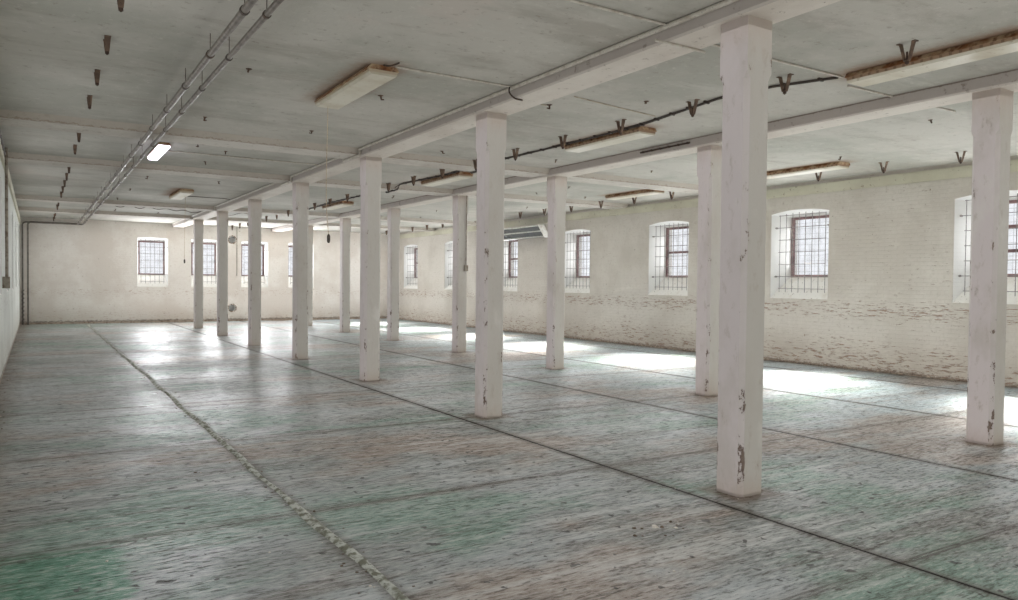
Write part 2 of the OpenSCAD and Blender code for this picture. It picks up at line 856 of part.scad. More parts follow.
// Tube swept along points, each ring drawn with the two axes a and b
module tube(points, radius, a, b) {
    rings = [for (p = points) for (k = [0 : cord_fn - 1])
        p + radius * (cos(360 * k / cord_fn) * a + sin(360 * k / cord_fn) * b)];
    last = len(points) - 1;
    sides = [for (i = [0 : last - 1]) for (k = [0 : cord_fn - 1])
        [i * cord_fn + k, (i + 1) * cord_fn + k, (i + 1) * cord_fn + (k + 1) % cord_fn,
            i * cord_fn + (k + 1) % cord_fn]];
    top = [for (k = [0 : cord_fn - 1]) k];
    bottom = [for (k = [0 : cord_fn - 1]) last * cord_fn + cord_fn - 1 - k];
    polyhedron(points = rings, faces = concat(sides, [top], [bottom]));
}

// Cords hang from the underside of a light
cord_top = ceiling_z - housing_h - diffuser_h;

module pull_cord(cord, sway)
    color("black")
        tube([for (s = sway) [cord[0] + s[1], cord[1], cord[2] + s[0] * (cord_top - cord[2])]],
            cord_r, [1, 0, 0], [0, 1, 0]);

module pendant(cord, sway)
    translate([cord[0] + sway[len(sway) - 1][1], cord[1], cord[2] - pendant_h])
        cylinder(h = pendant_h, r = pendant_r, $fn = round_fn);

module cord_pendants()
    color("black") {
        pendant(front_cord, front_sway);
        pendant(back_cord, back_sway);
    }

floor_slab();
floor_strips();
door_threshold();
color("tan") on_right() side_base();  // right_wall_base
color("tan") on_right() side_piers();  // right_wall_piers
color("tan") on_right() side_head();  // right_wall_head
color("tan") on_left() side_base();  // left_wall_base
color("tan") on_left() side_piers();  // left_wall_piers
color("tan") on_left() side_head();  // left_wall_head
far_wall_base();
color("tan") on_far() piers(half_w, end_holes);  // far_wall_piers
far_wall_head();
near_wall_base();
color("tan") on_near() piers(half_w, near_holes);  // near_wall_piers
near_wall_head();
color("white") { on_right() side_sills(); on_left() side_sills(); }  // side_window_sills
color("white") { on_far() end_sills(); on_near() end_sills(); }  // end_window_sills
color("saddlebrown") on_right() side_frames();  // right_window_frames
color("saddlebrown") on_left() side_frames();  // left_window_frames
color("saddlebrown") { on_far() end_frames(); on_near() end_frames(); }  // end_window_frames
color("azure") { on_right() side_panes(); on_left() side_panes(); }  // side_window_glass
color("azure") { on_far() end_panes(); on_near() end_panes(); }  // end_window_glass
color("whitesmoke") column_row(-row_x);  // left_columns
color("whitesmoke") column_row(row_x);  // right_columns
color("silver") long_beam(-row_x);  // left_beam
color("silver") long_beam(row_x);  // right_beam
aisle_ribs();
color("beige") { on_right() wall_band(); on_left() wall_band(); }  // wall_bands
ceiling_slab();
roof_covering();
roof_edge();
light_housings();
light_diffusers();
heating_pipes();
pipe_elbows();
pipe_hangers();
ceiling_hooks();
beam_conduit();
cross_conduits();
aisle_cable();
heater_casing();
heater_rails();
heater_brackets();
wall_riser();
column_switch();
far_wall_conduit();
pull_cord(front_cord, front_sway);  // cord_front
pull_cord(back_cord, back_sway);  // cord_back
cord_pendants();
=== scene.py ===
# The factory hall dressed for looks: camera, pull cables, grilles, worn surfaces and light.
# Everything is in metres in the hall's own frame: +Y runs to the far wall, +X to the right wall.

import math
import random

import bpy
from mathutils import Matrix, Vector, noise


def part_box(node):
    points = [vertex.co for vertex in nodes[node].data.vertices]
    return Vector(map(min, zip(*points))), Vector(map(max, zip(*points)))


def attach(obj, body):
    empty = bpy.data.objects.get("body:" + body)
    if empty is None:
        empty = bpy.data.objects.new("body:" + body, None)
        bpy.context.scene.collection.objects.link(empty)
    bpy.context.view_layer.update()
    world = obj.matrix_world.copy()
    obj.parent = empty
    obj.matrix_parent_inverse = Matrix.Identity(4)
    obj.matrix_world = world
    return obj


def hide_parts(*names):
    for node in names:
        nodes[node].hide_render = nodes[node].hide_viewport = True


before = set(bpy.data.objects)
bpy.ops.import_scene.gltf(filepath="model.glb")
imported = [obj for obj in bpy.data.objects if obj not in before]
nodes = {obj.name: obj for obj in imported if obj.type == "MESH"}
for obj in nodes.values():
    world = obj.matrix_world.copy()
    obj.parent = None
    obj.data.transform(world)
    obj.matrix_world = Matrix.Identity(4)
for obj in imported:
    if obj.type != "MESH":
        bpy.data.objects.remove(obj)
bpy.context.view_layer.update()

# Places that the CAD model fixes

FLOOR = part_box("floor_strips")[1].z
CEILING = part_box("ceiling_slab")[0].z
HALF_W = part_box("floor_strips")[1].x
HALF_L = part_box("floor_strips")[1].y
WALL = 0.64
ROW_X = 1.94
BAY = 4.0
SILL = FLOOR + 1.4
FRAME_SILL = FLOOR + 1.87
FRAME_HEAD = FLOOR + 3.21
CROWN_LIFT = 0.13
CROWN_END = 0.036
SPLAY = 0.42
SIDE_WINDOWS = [(i - 3) * BAY - 1.58 for i in range(8)]
END_WINDOWS = [0.085 + (i - 1.5) * 1.955 for i in range(4)]
DOOR_X = -5.6
LIT_LIGHT = (-4.98, -1.98)
LIT_LENGTH = 1.45
LIGHT_ROWS = {-3.65: [-7.9, 4.75], 0.62: [-12.15, -7.15, -1.8, 5.0], 5.56: [-6.9, -2.15]}
RIBS = [-3.7, 0.3, 8.3, 12.3]
RIB_DROP = 0.1


# Camera, from the vanishing lines of the columns, walls and floor joints

EYE = Vector((-6.773, -16.180, 1.818))
YAW = math.radians(32.05)
PITCH = math.radians(-1.248)
ROLL = math.radians(0.571)
IMAGE_W = 1018
FOCAL_PIXELS = 756.9
SENSOR = 36.0


def photo_camera():
    ahead = Vector((math.sin(YAW) * math.cos(PITCH), math.cos(YAW) * math.cos(PITCH), math.sin(PITCH)))
    level = Vector((math.cos(YAW), -math.sin(YAW), 0))
    above = level.cross(ahead)
    across = level * math.cos(ROLL) + above * math.sin(ROLL)
    upward = above * math.cos(ROLL) - level * math.sin(ROLL)
    data = bpy.data.cameras.new("photo_camera")
    data.sensor_width = SENSOR
    data.lens = FOCAL_PIXELS / IMAGE_W * SENSOR
    data.clip_start = 0.05
    data.clip_end = 400
    camera = bpy.data.objects.new("photo_camera", data)
    turn = Matrix((across, upward, -ahead)).transposed()
    camera.matrix_world = Matrix.Translation(EYE) @ turn.to_4x4()
    bpy.context.scene.collection.objects.link(camera)
    bpy.context.scene.camera = camera


photo_camera()


# Materials: masks in the hall's own coordinates, laid over each other


def tone(red, green, blue):
    """A colour as a screen shows it, in the linear values that a shader takes."""
    return tuple((channel / 255) ** 2.2 for channel in (red, green, blue)) + (1.0,)


class Finish:
    """One procedural material. Masks run from 0 to 1, and heights are real metres."""

    def __init__(self, name, colour, roughness=0.7, metallic=0.0):
        self.material = bpy.data.materials.new(name)
        self.material.use_nodes = True
        self.nodes = self.material.node_tree.nodes
        self.links = self.material.node_tree.links
        self.shader = self.nodes["Principled BSDF"]
        self.shader.inputs["Metallic"].default_value = metallic
        self.place = self.nodes.new("ShaderNodeTexCoord").outputs["Object"]
        self.x, self.y, self.z = self.add("ShaderNodeSeparateXYZ", Vector=self.place).outputs
        self.colour = colour
        self.roughness = roughness
        self.height = None

    def feed(self, socket, value):
        if isinstance(value, bpy.types.NodeSocket):
            self.links.new(value, socket)
        else:
            socket.default_value = value

    def add(self, kind, **inputs):
        node = self.nodes.new(kind)
        for name, value in inputs.items():
            self.feed(node.inputs[name], value)
        return node

    def math(self, operation, first, second=0.0):
        node = self.nodes.new("ShaderNodeMath")
        node.operation = operation
        self.feed(node.inputs[0], first)
        self.feed(node.inputs[1], second)
        return node.outputs[0]

    def noise(self, scale, detail=3.0, stretch=(1, 1, 1), shift=0.0, rough=0.55):
        moved = self.nodes.new("ShaderNodeVectorMath")
        moved.operation = "MULTIPLY_ADD"
        self.feed(moved.inputs[0], self.place)
        self.feed(moved.inputs[1], stretch)
        self.feed(moved.inputs[2], (shift, shift * 0.7, shift * 1.3))
        texture = self.add("ShaderNodeTexNoise", Vector=moved.outputs[0], Scale=scale)
        self.feed(texture.inputs["Detail"], detail)
        self.feed(texture.inputs["Roughness"], rough)
        return texture.outputs["Fac"]

    def ramp(self, value, start, end, to_start=0.0, to_end=1.0):
        node = self.nodes.new("ShaderNodeMapRange")
        node.interpolation_type = "SMOOTHSTEP"
        self.feed(node.inputs[0], value)
        for socket, number in zip(node.inputs[1:5], (start, end, to_start, to_end)):
            self.feed(socket, number)
        return node.outputs[0]

    def near(self, value, middle, half, soft):
        away = self.math("ABSOLUTE", self.math("SUBTRACT", value, middle))
        return self.ramp(away, half + soft, half)

    def both(self, first, second):
        return self.math("MULTIPLY", first, second)

    def either(self, first, second):
        return self.math("MAXIMUM", first, second)

    def paint(self, mask, colour, amount=1.0):
        if amount != 1.0:
            mask = self.math("MULTIPLY", mask, amount)
        node = self.nodes.new("ShaderNodeMix")
        node.data_type = "RGBA"
        self.feed(node.inputs[0], mask)
        self.feed(node.inputs[6], self.colour)
        self.feed(node.inputs[7], colour)
        self.colour = node.outputs[2]
        return self

    def gloss(self, mask, roughness):
        node = self.nodes.new("ShaderNodeMix")
        self.feed(node.inputs[0], mask)
        self.feed(node.inputs[2], self.roughness)
        self.feed(node.inputs[3], roughness)
        self.roughness = node.outputs[0]
        return self

    def raise_by(self, mask, metres):
        step = self.math("MULTIPLY", mask, metres)
        self.height = step if self.height is None else self.math("ADD", self.height, step)
        return self

    def done(self):
        self.feed(self.shader.inputs["Base Color"], self.colour)
        self.feed(self.shader.inputs["Roughness"], self.roughness)
        if self.height is not None:
            bump = self.add("ShaderNodeBump", Height=self.height)
            bump.inputs["Strength"].default_value = 1.0
            bump.inputs["Distance"].default_value = 1.0
            self.links.new(bump.outputs["Normal"], self.shader.inputs["Normal"])
        return self.material


def dress(material, *names):
    for name in names:
        piece = nodes[name]
        if not piece.material_slots:
            piece.data.materials.append(None)
        for slot in piece.material_slots:
            slot.link = "OBJECT"
            slot.material = material


# Meshes


class Shape:
    """Gathers bars, blocks and stones into one mesh."""

    def __init__(self):
        self.points = []
        self.faces = []

    def prism(self, start, end, radius, sides=6, radius_end=None):
        start, end = Vector(start), Vector(end)
        along = (end - start).normalized()
        side = along.orthogonal().normalized()
        other = along.cross(side)
        first = len(self.points)
        for middle, r in ((start, radius), (end, radius if radius_end is None else radius_end)):
            for k in range(sides):
                turn = 2 * math.pi * (k + 0.5) / sides
                self.points.append(middle + r * (math.cos(turn) * side + math.sin(turn) * other))
        for k in range(sides):
            m = (k + 1) % sides
            self.faces.append((first + k, first + m, first + sides + m, first + sides + k))
        self.faces.append(tuple(first + k for k in reversed(range(sides))))
        self.faces.append(tuple(first + sides + k for k in range(sides)))

    def block(self, low, high):
        first = len(self.points)
        for z in (low[2], high[2]):
            for x, y in ((low[0], low[1]), (high[0], low[1]), (high[0], high[1]), (low[0], high[1])):
                self.points.append(Vector((x, y, z)))
        for face in ((3, 2, 1, 0), (4, 5, 6, 7), (0, 1, 5, 4), (1, 2, 6, 5), (2, 3, 7, 6), (3, 0, 4, 7)):
            self.faces.append(tuple(first + k for k in face))

    def chip(self, x, y, z, size, flat, dice):
        """A broken stone that lies on the height z."""
        first = len(self.points)
        sides = 5
        turn = dice.uniform(0, 6.28)
        for level, share in ((0.0, 1.0), (0.6, 0.85)):
            for k in range(sides):
                a = turn + 2 * math.pi * k / sides
                r = size * share * dice.uniform(0.6, 1.1)
                self.points.append(Vector((x + r * math.cos(a), y + r * math.sin(a), z + flat * level)))
        self.points.append(Vector((x, y, z + flat)))
        for k in range(sides):
            m = (k + 1) % sides
            self.faces.append((first + k, first + m, first + sides + m, first + sides + k))
            self.faces.append((first + sides + k, first + sides + m, first + 2 * sides))
        self.faces.append(tuple(first + k for k in reversed(range(sides))))

    def tube(self, route, radius, sides=8):
        """A round cable along smooth bends through the given points."""
        route = [Vector(p) for p in route]
        path = []
        for k in range(len(route) - 1):
            before = route[max(k - 1, 0)]
            start, end = route[k], route[k + 1]
            after = route[min(k + 2, len(route) - 1)]
            for step in range(5):
                t = step / 5
                bend = (end - before) * t + (2 * before - 5 * start + 4 * end - after) * t * t
                bend += (3 * start - before - 3 * end + after) * t * t * t
                path.append(start + 0.5 * bend)
        path.append(route[-1])
        first = len(self.points)
        side = (path[1] - path[0]).orthogonal().normalized()
        for k, spot in enumerate(path):
            along = (path[min(k + 1, len(path) - 1)] - path[max(k - 1, 0)]).normalized()
            side = (side - along * side.dot(along)).normalized()
            other = along.cross(side)
            for m in range(sides):
                a = 2 * math.pi * m / sides
                self.points.append(spot + radius * (math.cos(a) * side + math.sin(a) * other))
        for k in range(len(path) - 1):
            for m in range(sides):
                n = (m + 1) % sides
                low, high = first + k * sides, first + (k + 1) * sides
                self.faces.append((low + m, low + n, high + n, high + m))
        self.faces.append(tuple(first + m for m in reversed(range(sides))))
        self.faces.append(tuple(len(self.points) - sides + m for m in range(sides)))

    def make(self, name, material, smooth=False):
        mesh = bpy.data.meshes.new(name)
        mesh.from_pydata([tuple(p) for p in self.points], [], self.faces)
        mesh.materials.append(material)
        if smooth:
            mesh.polygons.foreach_set("use_smooth", [True] * len(mesh.polygons))
        piece = bpy.data.objects.new(name, mesh)
        bpy.context.scene.collection.objects.link(piece)
        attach(piece, "root")
        return piece


# Pull cables

CORD_R = 0.004
CORD_TOP = CEILING - 0.1
PENDANT_R = 0.02
PENDANT_H = 0.11
FRONT_SWAY = [
    (1, 0), (0.9, -3), (0.8, -6), (0.7, -9), (0.6, -12), (0.5, -15), (0.42, -17),
    (0.34, -17), (0.27, -15), (0.2, -11), (0.14, -5), (0.09, 2), (0.04, 9), (0, 16),
]
BACK_SWAY = [
    (1, 0), (0.9, -1), (0.8, -3), (0.7, -5), (0.6, -8), (0.5, -11), (0.42, -14),
    (0.34, -16), (0.27, -18), (0.2, -20), (0.14, -21), (0.09, -21), (0.04, -20), (0, -18),
]


def sheath():
    f = Finish("cord_sheath", tone(196, 178, 150), roughness=0.55)
    f.paint(f.ramp(f.noise(60, 2), 0.45, 0.7), tone(140, 118, 92))
    f.raise_by(f.noise(300, 2), 0.0004)
    return f.done()


def grip():
    f = Finish("pendant_body", tone(62, 56, 50), roughness=0.45)
    f.paint(f.ramp(f.noise(90, 3), 0.45, 0.75), tone(120, 108, 92))
    f.raise_by(f.noise(250, 3), 0.0005)
    return f.done()


def pull_cable(name, node, x, y, low, sway, materials):
    route = [(x + share_x / 1000, y, low + share * (CORD_TOP - low)) for share, share_x in sway]
    data = bpy.data.curves.new(name, "CURVE")
    data.dimensions = "3D"
    data.bevel_depth = CORD_R
    data.bevel_resolution = 3
    data.resolution_u = 6
    data.use_fill_caps = True
    line = data.splines.new("BEZIER")
    line.bezier_points.add(len(route) - 1)
    for point, spot in zip(line.bezier_points, route):
        point.co = spot
        point.handle_left_type = "AUTO"
        point.handle_right_type = "AUTO"
    data.materials.append(materials[0])
    cable = bpy.data.objects.new(name, data)
    bpy.context.scene.collection.objects.link(cable)
    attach(cable, "root")
    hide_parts(node)
    foot = Vector(route[-1])
    body = Shape()
    rings = [(0.0, 0.3), (0.012, 0.75), (0.03, 1.0), (0.085, 1.0), (0.1, 0.8), (PENDANT_H, 0.45)]
    for (d0, s0), (d1, s1) in zip(rings, rings[1:]):
        start = foot + Vector((0, 0, CORD_R - d0))
        end = foot + Vector((0, 0, CORD_R - d1))
        body.prism(start, end, PENDANT_R * s0, 20, PENDANT_R * s1)
    pendant = body.make(name + "_pendant", materials[1])
    return pendant


cord_looks = (sheath(), grip())
front_pendant = pull_cable(
    "front_pull_cable", "cord_front", -3.73, -7.1, 2.40, FRONT_SWAY, cord_looks
)
pull_cable(
    "back_pull_cable", "cord_back", -3.5, 4.76, 2.36, BACK_SWAY, cord_looks
)
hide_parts("cord_pendants")


# Floor

JOINT_X = [-5.14, -2.34, 0.46, 3.26, 6.06]
RUBBLE_X = JOINT_X[0]
STRIP = 2.8
CROSS_FROM = -10.8
CROSS_PITCH = 2.8


def floor_top_and_window_light():
    f = Finish("floor_top", tone(136, 140, 137), roughness=0.45)
    cloud = f.noise(0.45, 5, shift=2.0, rough=0.65)
    f.paint(f.ramp(cloud, 0.4, 0.6), tone(158, 164, 165))
    # painted window light: the floor grows lighter and bluer towards the right-hand windows
    f.paint(f.ramp(f.x, -2.0, 5.0), tone(170, 188, 198), 0.7)
    patch = f.noise(0.34, 5, stretch=(0.8, 1.5, 1), shift=9.0, rough=0.66)
    f.paint(f.ramp(patch, 0.5, 0.62), tone(152, 130, 114), 0.7)
    f.paint(f.ramp(patch, 0.48, 0.38), tone(116, 146, 131), 0.85)
    streak = f.noise(2.0, 6, stretch=(0.16, 2.6, 1), rough=0.7)
    fine = f.noise(24, 5, stretch=(0.4, 1.8, 1), rough=0.75)
    ragged = f.math("ADD", f.math("MULTIPLY", streak, 0.6), f.math("MULTIPLY", fine, 0.4))
    teal_x = f.near(f.math("ADD", f.x, ragged), -6.3, 0.42, 0.08)
    teal_y = f.near(f.math("ADD", f.y, cloud), -10.75, 0.42, 0.08)
    f.paint(f.both(teal_x, teal_y), tone(62, 128, 100), 0.95)
    f.paint(f.ramp(streak, 0.52, 0.62), tone(92, 87, 78), 0.6)
    f.paint(f.ramp(streak, 0.46, 0.36), tone(202, 203, 200), 0.55)
    f.paint(f.ramp(fine, 0.52, 0.62), tone(70, 64, 56), 0.6)
    f.paint(f.ramp(fine, 0.47, 0.37), tone(206, 205, 200), 0.5)
    speck = f.ramp(f.noise(9, 2, shift=31.0), 0.66, 0.69)
    f.paint(speck, tone(46, 44, 40), 0.85)
    uneven = f.math("MULTIPLY", f.math("SUBTRACT", fine, 0.5), 0.05)
    cross = f.math("PINGPONG", f.math("ADD", f.math("ADD", f.y, uneven), -CROSS_FROM), CROSS_PITCH / 2)
    line = f.near(cross, 0.015, 0.005, 0.009)
    f.paint(f.both(line, f.ramp(streak, 0.4, 0.5)), tone(58, 52, 46), 0.8)
    f.paint(f.ramp(cross, 0.14, 0.03), tone(108, 98, 88), 0.3)
    joint = f.math("PINGPONG", f.math("ADD", f.math("ADD", f.x, uneven), -JOINT_X[0]), STRIP / 2)
    f.paint(f.ramp(joint, 0.11, 0.02), tone(84, 74, 64), 0.6)
    f.paint(f.ramp(joint, 0.024, 0.012), tone(44, 39, 34), 0.9)
    from_row = f.math("ABSOLUTE", f.math("SUBTRACT", f.math("ABSOLUTE", f.x), ROW_X))
    from_line = f.math("PINGPONG", f.y, BAY / 2)
    foot = f.ramp(f.math("MAXIMUM", from_row, from_line), 0.34, 0.17)
    f.paint(foot, tone(98, 78, 60), 0.75)
    edge = f.math("ADD", f.math("ABSOLUTE", f.x), f.math("MULTIPLY", streak, 0.3))
    f.paint(f.ramp(edge, HALF_W - 0.25, HALF_W + 0.1), tone(110, 96, 82), 0.65)
    f.gloss(f.ramp(f.math("ADD", cloud, streak), 0.96, 1.04), 0.29)
    f.gloss(f.ramp(fine, 0.5, 0.62), 0.75)
    f.raise_by(streak, 0.008)
    f.raise_by(fine, 0.006)
    f.raise_by(line, -0.004)
    f.shader.inputs["Specular IOR Level"].default_value = 0.6
    return f.done()


BRICK_W = 0.26
COURSE = 0.077
MORTAR = 0.006


def courses(f, run, soft=None):
    """The mortar lines of a brick wall, along the given direction."""
    spot = f.add("ShaderNodeCombineXYZ", X=run, Y=f.z, Z=0.0).outputs[0]
    brick = f.add("ShaderNodeTexBrick", Vector=spot, Scale=1.0)
    brick.inputs["Mortar Size"].default_value = MORTAR
    brick.inputs["Brick Width"].default_value = BRICK_W
    brick.inputs["Row Height"].default_value = COURSE
    if soft is not None:
        brick.inputs["Mortar Smooth"].default_value = soft
    return brick.outputs["Fac"]


def concrete():
    f = Finish("concrete", tone(150, 146, 138), roughness=0.85)
    f.paint(f.ramp(f.noise(1.2, 5), 0.35, 0.7), tone(122, 117, 108))
    f.paint(f.ramp(f.noise(40, 3), 0.55, 0.75), tone(84, 80, 74), 0.6)
    f.raise_by(f.noise(30, 4), 0.003)
    return f.done()


# Walls


def wall_finish(name, base, shade, warm, side, speckle, damage):
    """Thick paint on brick. side says that the wall runs along y, warm is the tone under the paint."""
    f = Finish(name, base, roughness=0.8)
    run = f.y if side else f.x
    into = f.math("ABSOLUTE", f.x if side else f.y)
    inner = HALF_W if side else HALF_L
    broad = f.noise(0.5, 5, shift=3.0, rough=0.65)
    f.paint(f.ramp(broad, 0.42, 0.62), shade)
    mortar = courses(f, run, 0.6)
    f.paint(mortar, shade, 0.15)
    long = (1, 1.4, 12) if side else (1.4, 1, 12)
    chips = f.noise(3.4, 5, stretch=long, shift=5.0, rough=0.75)
    fine = f.noise(13, 4, shift=17.0, rough=0.65)
    f.paint(f.ramp(fine, 0.5, 0.66), shade, 0.5)
    band = f.near(f.z, FLOOR + 1.2, 0.05, 0.22)
    low = f.ramp(f.math("ADD", f.z, f.math("MULTIPLY", broad, 0.8)), FLOOR + 1.3, FLOOR + 0.5)
    worn = f.math("MULTIPLY", f.either(band, low), speckle)
    bare = f.ramp(f.math("ADD", chips, worn), 0.64, 0.68)
    f.paint(low, tone(158, 142, 116), 0.22)
    f.paint(bare, warm, 0.85)
    f.paint(f.ramp(fine, 0.69, 0.72), tone(110, 84, 64), 0.8)
    ragged = f.math("ADD", f.math("MULTIPLY", chips, 0.3), f.math("MULTIPLY", fine, 0.2))
    foot_edge = f.math("ADD", f.z, f.math("SUBTRACT", ragged, 0.25))
    foot = f.ramp(foot_edge, FLOOR + damage, FLOOR + damage - 0.03)
    f.paint(foot, tone(186, 164, 144), 0.7)
    f.paint(f.near(foot_edge, FLOOR + damage, 0.006, 0.02), tone(96, 74, 58), 0.7)
    f.paint(f.both(foot, f.ramp(fine, 0.5, 0.6)), tone(130, 98, 76), 0.6)
    ends = HALF_L if side else HALF_W
    within = f.ramp(f.math("ABSOLUTE", run), ends + 0.05, ends)
    f.paint(f.both(within, f.ramp(into, inner + 0.004, inner + 0.02)), tone(232, 232, 230), 0.9)
    corner = f.ramp(f.math("ABSOLUTE", run), ends + 0.1, ends + 0.2)
    outside = f.either(corner, f.ramp(into, inner + WALL - 0.02, inner + WALL - 0.005))
    f.paint(outside, tone(198, 189, 171))
    f.paint(f.both(outside, f.ramp(broad, 0.4, 0.65)), tone(166, 154, 136), 0.8)
    f.paint(f.both(outside, mortar), tone(130, 122, 112), 0.7)
    stain = f.ramp(f.math("ADD", f.z, ragged), 1.1, 0.3)
    f.paint(f.both(outside, stain), tone(96, 86, 74), 0.7)
    f.raise_by(mortar, -0.002)
    f.raise_by(fine, 0.006)
    f.raise_by(bare, -0.003)
    f.raise_by(foot, -0.008)
    return f.done()


def plaster():
    f = Finish("sill_plaster", tone(238, 236, 230), roughness=0.75)
    f.paint(f.ramp(f.noise(3, 5), 0.5, 0.75), tone(214, 206, 194), 0.6)
    f.paint(f.ramp(f.noise(22, 4), 0.62, 0.7), tone(120, 104, 88), 0.6)
    far_x = f.ramp(f.math("ABSOLUTE", f.x), HALF_W + WALL - 0.03, HALF_W + WALL - 0.01)
    far_y = f.ramp(f.math("ABSOLUTE", f.y), HALF_L + WALL - 0.03, HALF_L + WALL - 0.01)
    f.paint(f.either(far_x, far_y), tone(184, 174, 156))
    f.raise_by(f.noise(14, 4), 0.004)
    return f.done()


def plain_paint(name, base, second, third, scale=1.5, roughness=0.7):
    """Old paint with soft stains and small bare spots."""
    f = Finish(name, base, roughness=roughness)
    f.paint(f.ramp(f.noise(scale, 5, shift=2.0), 0.35, 0.7), second)
    f.paint(f.ramp(f.noise(scale * 9, 5, shift=11.0, rough=0.7), 0.6, 0.68), third, 0.7)
    f.raise_by(f.noise(scale * 14, 4), 0.0018)
    return f.done()


def beam_paint_and_shade():
    f = Finish("beam_paint", tone(216, 208, 199), roughness=0.75)
    facing = f.nodes.new("ShaderNodeNewGeometry").outputs["Normal"]
    nx, _ny, _nz = f.add("ShaderNodeSeparateXYZ", Vector=facing).outputs
    broad = f.noise(0.9, 5, stretch=(1, 0.5, 1), shift=2.0, rough=0.65)
    f.paint(f.ramp(broad, 0.4, 0.65), tone(200, 190, 180))
    # painted shade: the side faces of the beams are darker than their undersides
    f.paint(f.ramp(f.math("ABSOLUTE", nx), 0.5, 0.9), tone(180, 171, 167), 0.8)
    fine = f.noise(9, 5, shift=11.0, rough=0.75)
    f.paint(f.ramp(fine, 0.58, 0.68), tone(120, 104, 92), 0.6)
    edge = f.math("ADD", f.z, f.math("MULTIPLY", fine, 0.03))
    f.paint(f.near(edge, CEILING + 0.01, 0.004, 0.01), tone(104, 88, 76), 0.7)
    f.raise_by(fine, 0.005)
    return f.done()


def ceiling_finish():
    f = Finish("ceiling_paint", tone(188, 184, 176), roughness=0.85)
    broad = f.noise(0.4, 5, shift=6.0, rough=0.65)
    f.paint(f.ramp(broad, 0.4, 0.62), tone(166, 164, 155))
    f.paint(f.ramp(broad, 0.38, 0.28), tone(196, 186, 178), 0.7)
    boards = f.noise(1.3, 6, stretch=(0.5, 1.5, 1), shift=3.0, rough=0.7)
    f.paint(f.ramp(boards, 0.5, 0.68), tone(146, 138, 128), 0.45)
    f.paint(f.ramp(boards, 0.44, 0.3), tone(204, 201, 194), 0.4)
    fine = f.noise(10, 5, shift=7.0, rough=0.75)
    f.paint(f.ramp(fine, 0.58, 0.7), tone(120, 108, 96), 0.5)
    f.paint(f.ramp(fine, 0.42, 0.32), tone(210, 206, 198), 0.35)
    for row, lines in LIGHT_ROWS.items():
        away = [f.math("ABSOLUTE", f.math("SUBTRACT", f.y, y)) for y in lines]
        nearest = away[0]
        for other in away[1:]:
            nearest = f.math("MINIMUM", nearest, other)
        from_light = f.math("ABSOLUTE", f.math("SUBTRACT", f.x, row - 0.06))
        beside = f.math("ADD", from_light, f.math("MULTIPLY", fine, 0.3))
        stain = f.both(f.ramp(beside, 0.55, 0.2), f.ramp(nearest, 1.3, 0.75))
        f.paint(stain, tone(134, 98, 70), 0.8)
    f.raise_by(boards, 0.006)
    f.raise_by(fine, 0.004)
    return f.done()


def rib_paint_and_shade():
    """The ribs have the ceiling's paint, with rough brown edges and painted shade on their slopes."""
    f = Finish("rib_paint", tone(206, 200, 192), roughness=0.85)
    f.paint(f.ramp(f.noise(0.7, 5, shift=16.0, rough=0.65), 0.42, 0.62), tone(186, 179, 170))
    fine = f.noise(9, 5, shift=7.0, rough=0.75)
    f.paint(f.ramp(fine, 0.55, 0.68), tone(136, 122, 108), 0.6)
    nearest = None
    for y in RIBS:
        away = f.math("ABSOLUTE", f.math("SUBTRACT", f.y, y))
        nearest = away if nearest is None else f.math("MINIMUM", nearest, away)
    nearest = f.math("ADD", nearest, f.math("MULTIPLY", f.math("SUBTRACT", fine, 0.5), 0.1))
    # painted shade: the slopes either side of each rib's underside are darker
    f.paint(f.ramp(nearest, 0.27, 0.32), tone(176, 166, 154), 0.6)
    f.paint(f.near(nearest, 0.302, 0.002, 0.01), tone(134, 114, 96), 0.55)
    f.raise_by(fine, 0.008)
    return f.done()


def column_paint_and_light():
    f = Finish("column_paint", tone(186, 181, 174), roughness=0.62)
    facing = f.nodes.new("ShaderNodeNewGeometry").outputs["Normal"]
    nx, _ny, _nz = f.add("ShaderNodeSeparateXYZ", Vector=facing).outputs
    # painted light: the faces that look towards -x are lighter and pinker than the rest
    f.paint(f.ramp(nx, -0.4, -0.9), tone(206, 196, 196))
    broad = f.noise(1.3, 5, stretch=(1, 1, 0.6), shift=2.0, rough=0.65)
    f.paint(f.ramp(broad, 0.48, 0.68), tone(176, 168, 158), 0.5)
    f.paint(f.ramp(broad, 0.42, 0.3), tone(212, 208, 202), 0.5)
    from_x = f.math("ABSOLUTE", f.math("SUBTRACT", f.math("ABSOLUTE", f.x), ROW_X))
    from_y = f.math("PINGPONG", f.y, BAY / 2)
    corner = f.ramp(f.math("MINIMUM", from_x, from_y), 0.085, 0.112)
    chips = f.noise(11, 5, stretch=(1, 1, 0.45), shift=9.0, rough=0.75)
    low = f.ramp(f.z, 2.9, FLOOR, 0.03, 0.12)
    bare = f.ramp(f.math("ADD", chips, f.math("MULTIPLY", corner, low)), 0.66, 0.68)
    f.paint(f.both(bare, f.ramp(corner, 0.0, 0.3)), tone(86, 60, 46), 0.92)
    f.paint(f.ramp(chips, 0.695, 0.71), tone(112, 84, 66), 0.85)
    f.paint(f.ramp(chips, 0.56, 0.64), tone(164, 152, 140), 0.3)
    ragged = f.math("ADD", f.z, f.math("MULTIPLY", chips, 0.35))
    f.paint(f.ramp(ragged, FLOOR + 0.4, FLOOR + 0.12), tone(170, 150, 134), 0.4)
    f.paint(f.ramp(ragged, FLOOR + 0.135, FLOOR + 0.115), tone(84, 64, 50), 0.8)
    f.paint(f.ramp(ragged, CEILING - 0.3, CEILING + 0.05), tone(186, 168, 156), 0.5)
    f.raise_by(broad, 0.012)
    f.raise_by(chips, 0.005)
    f.raise_by(bare, -0.003)
    return f.done()


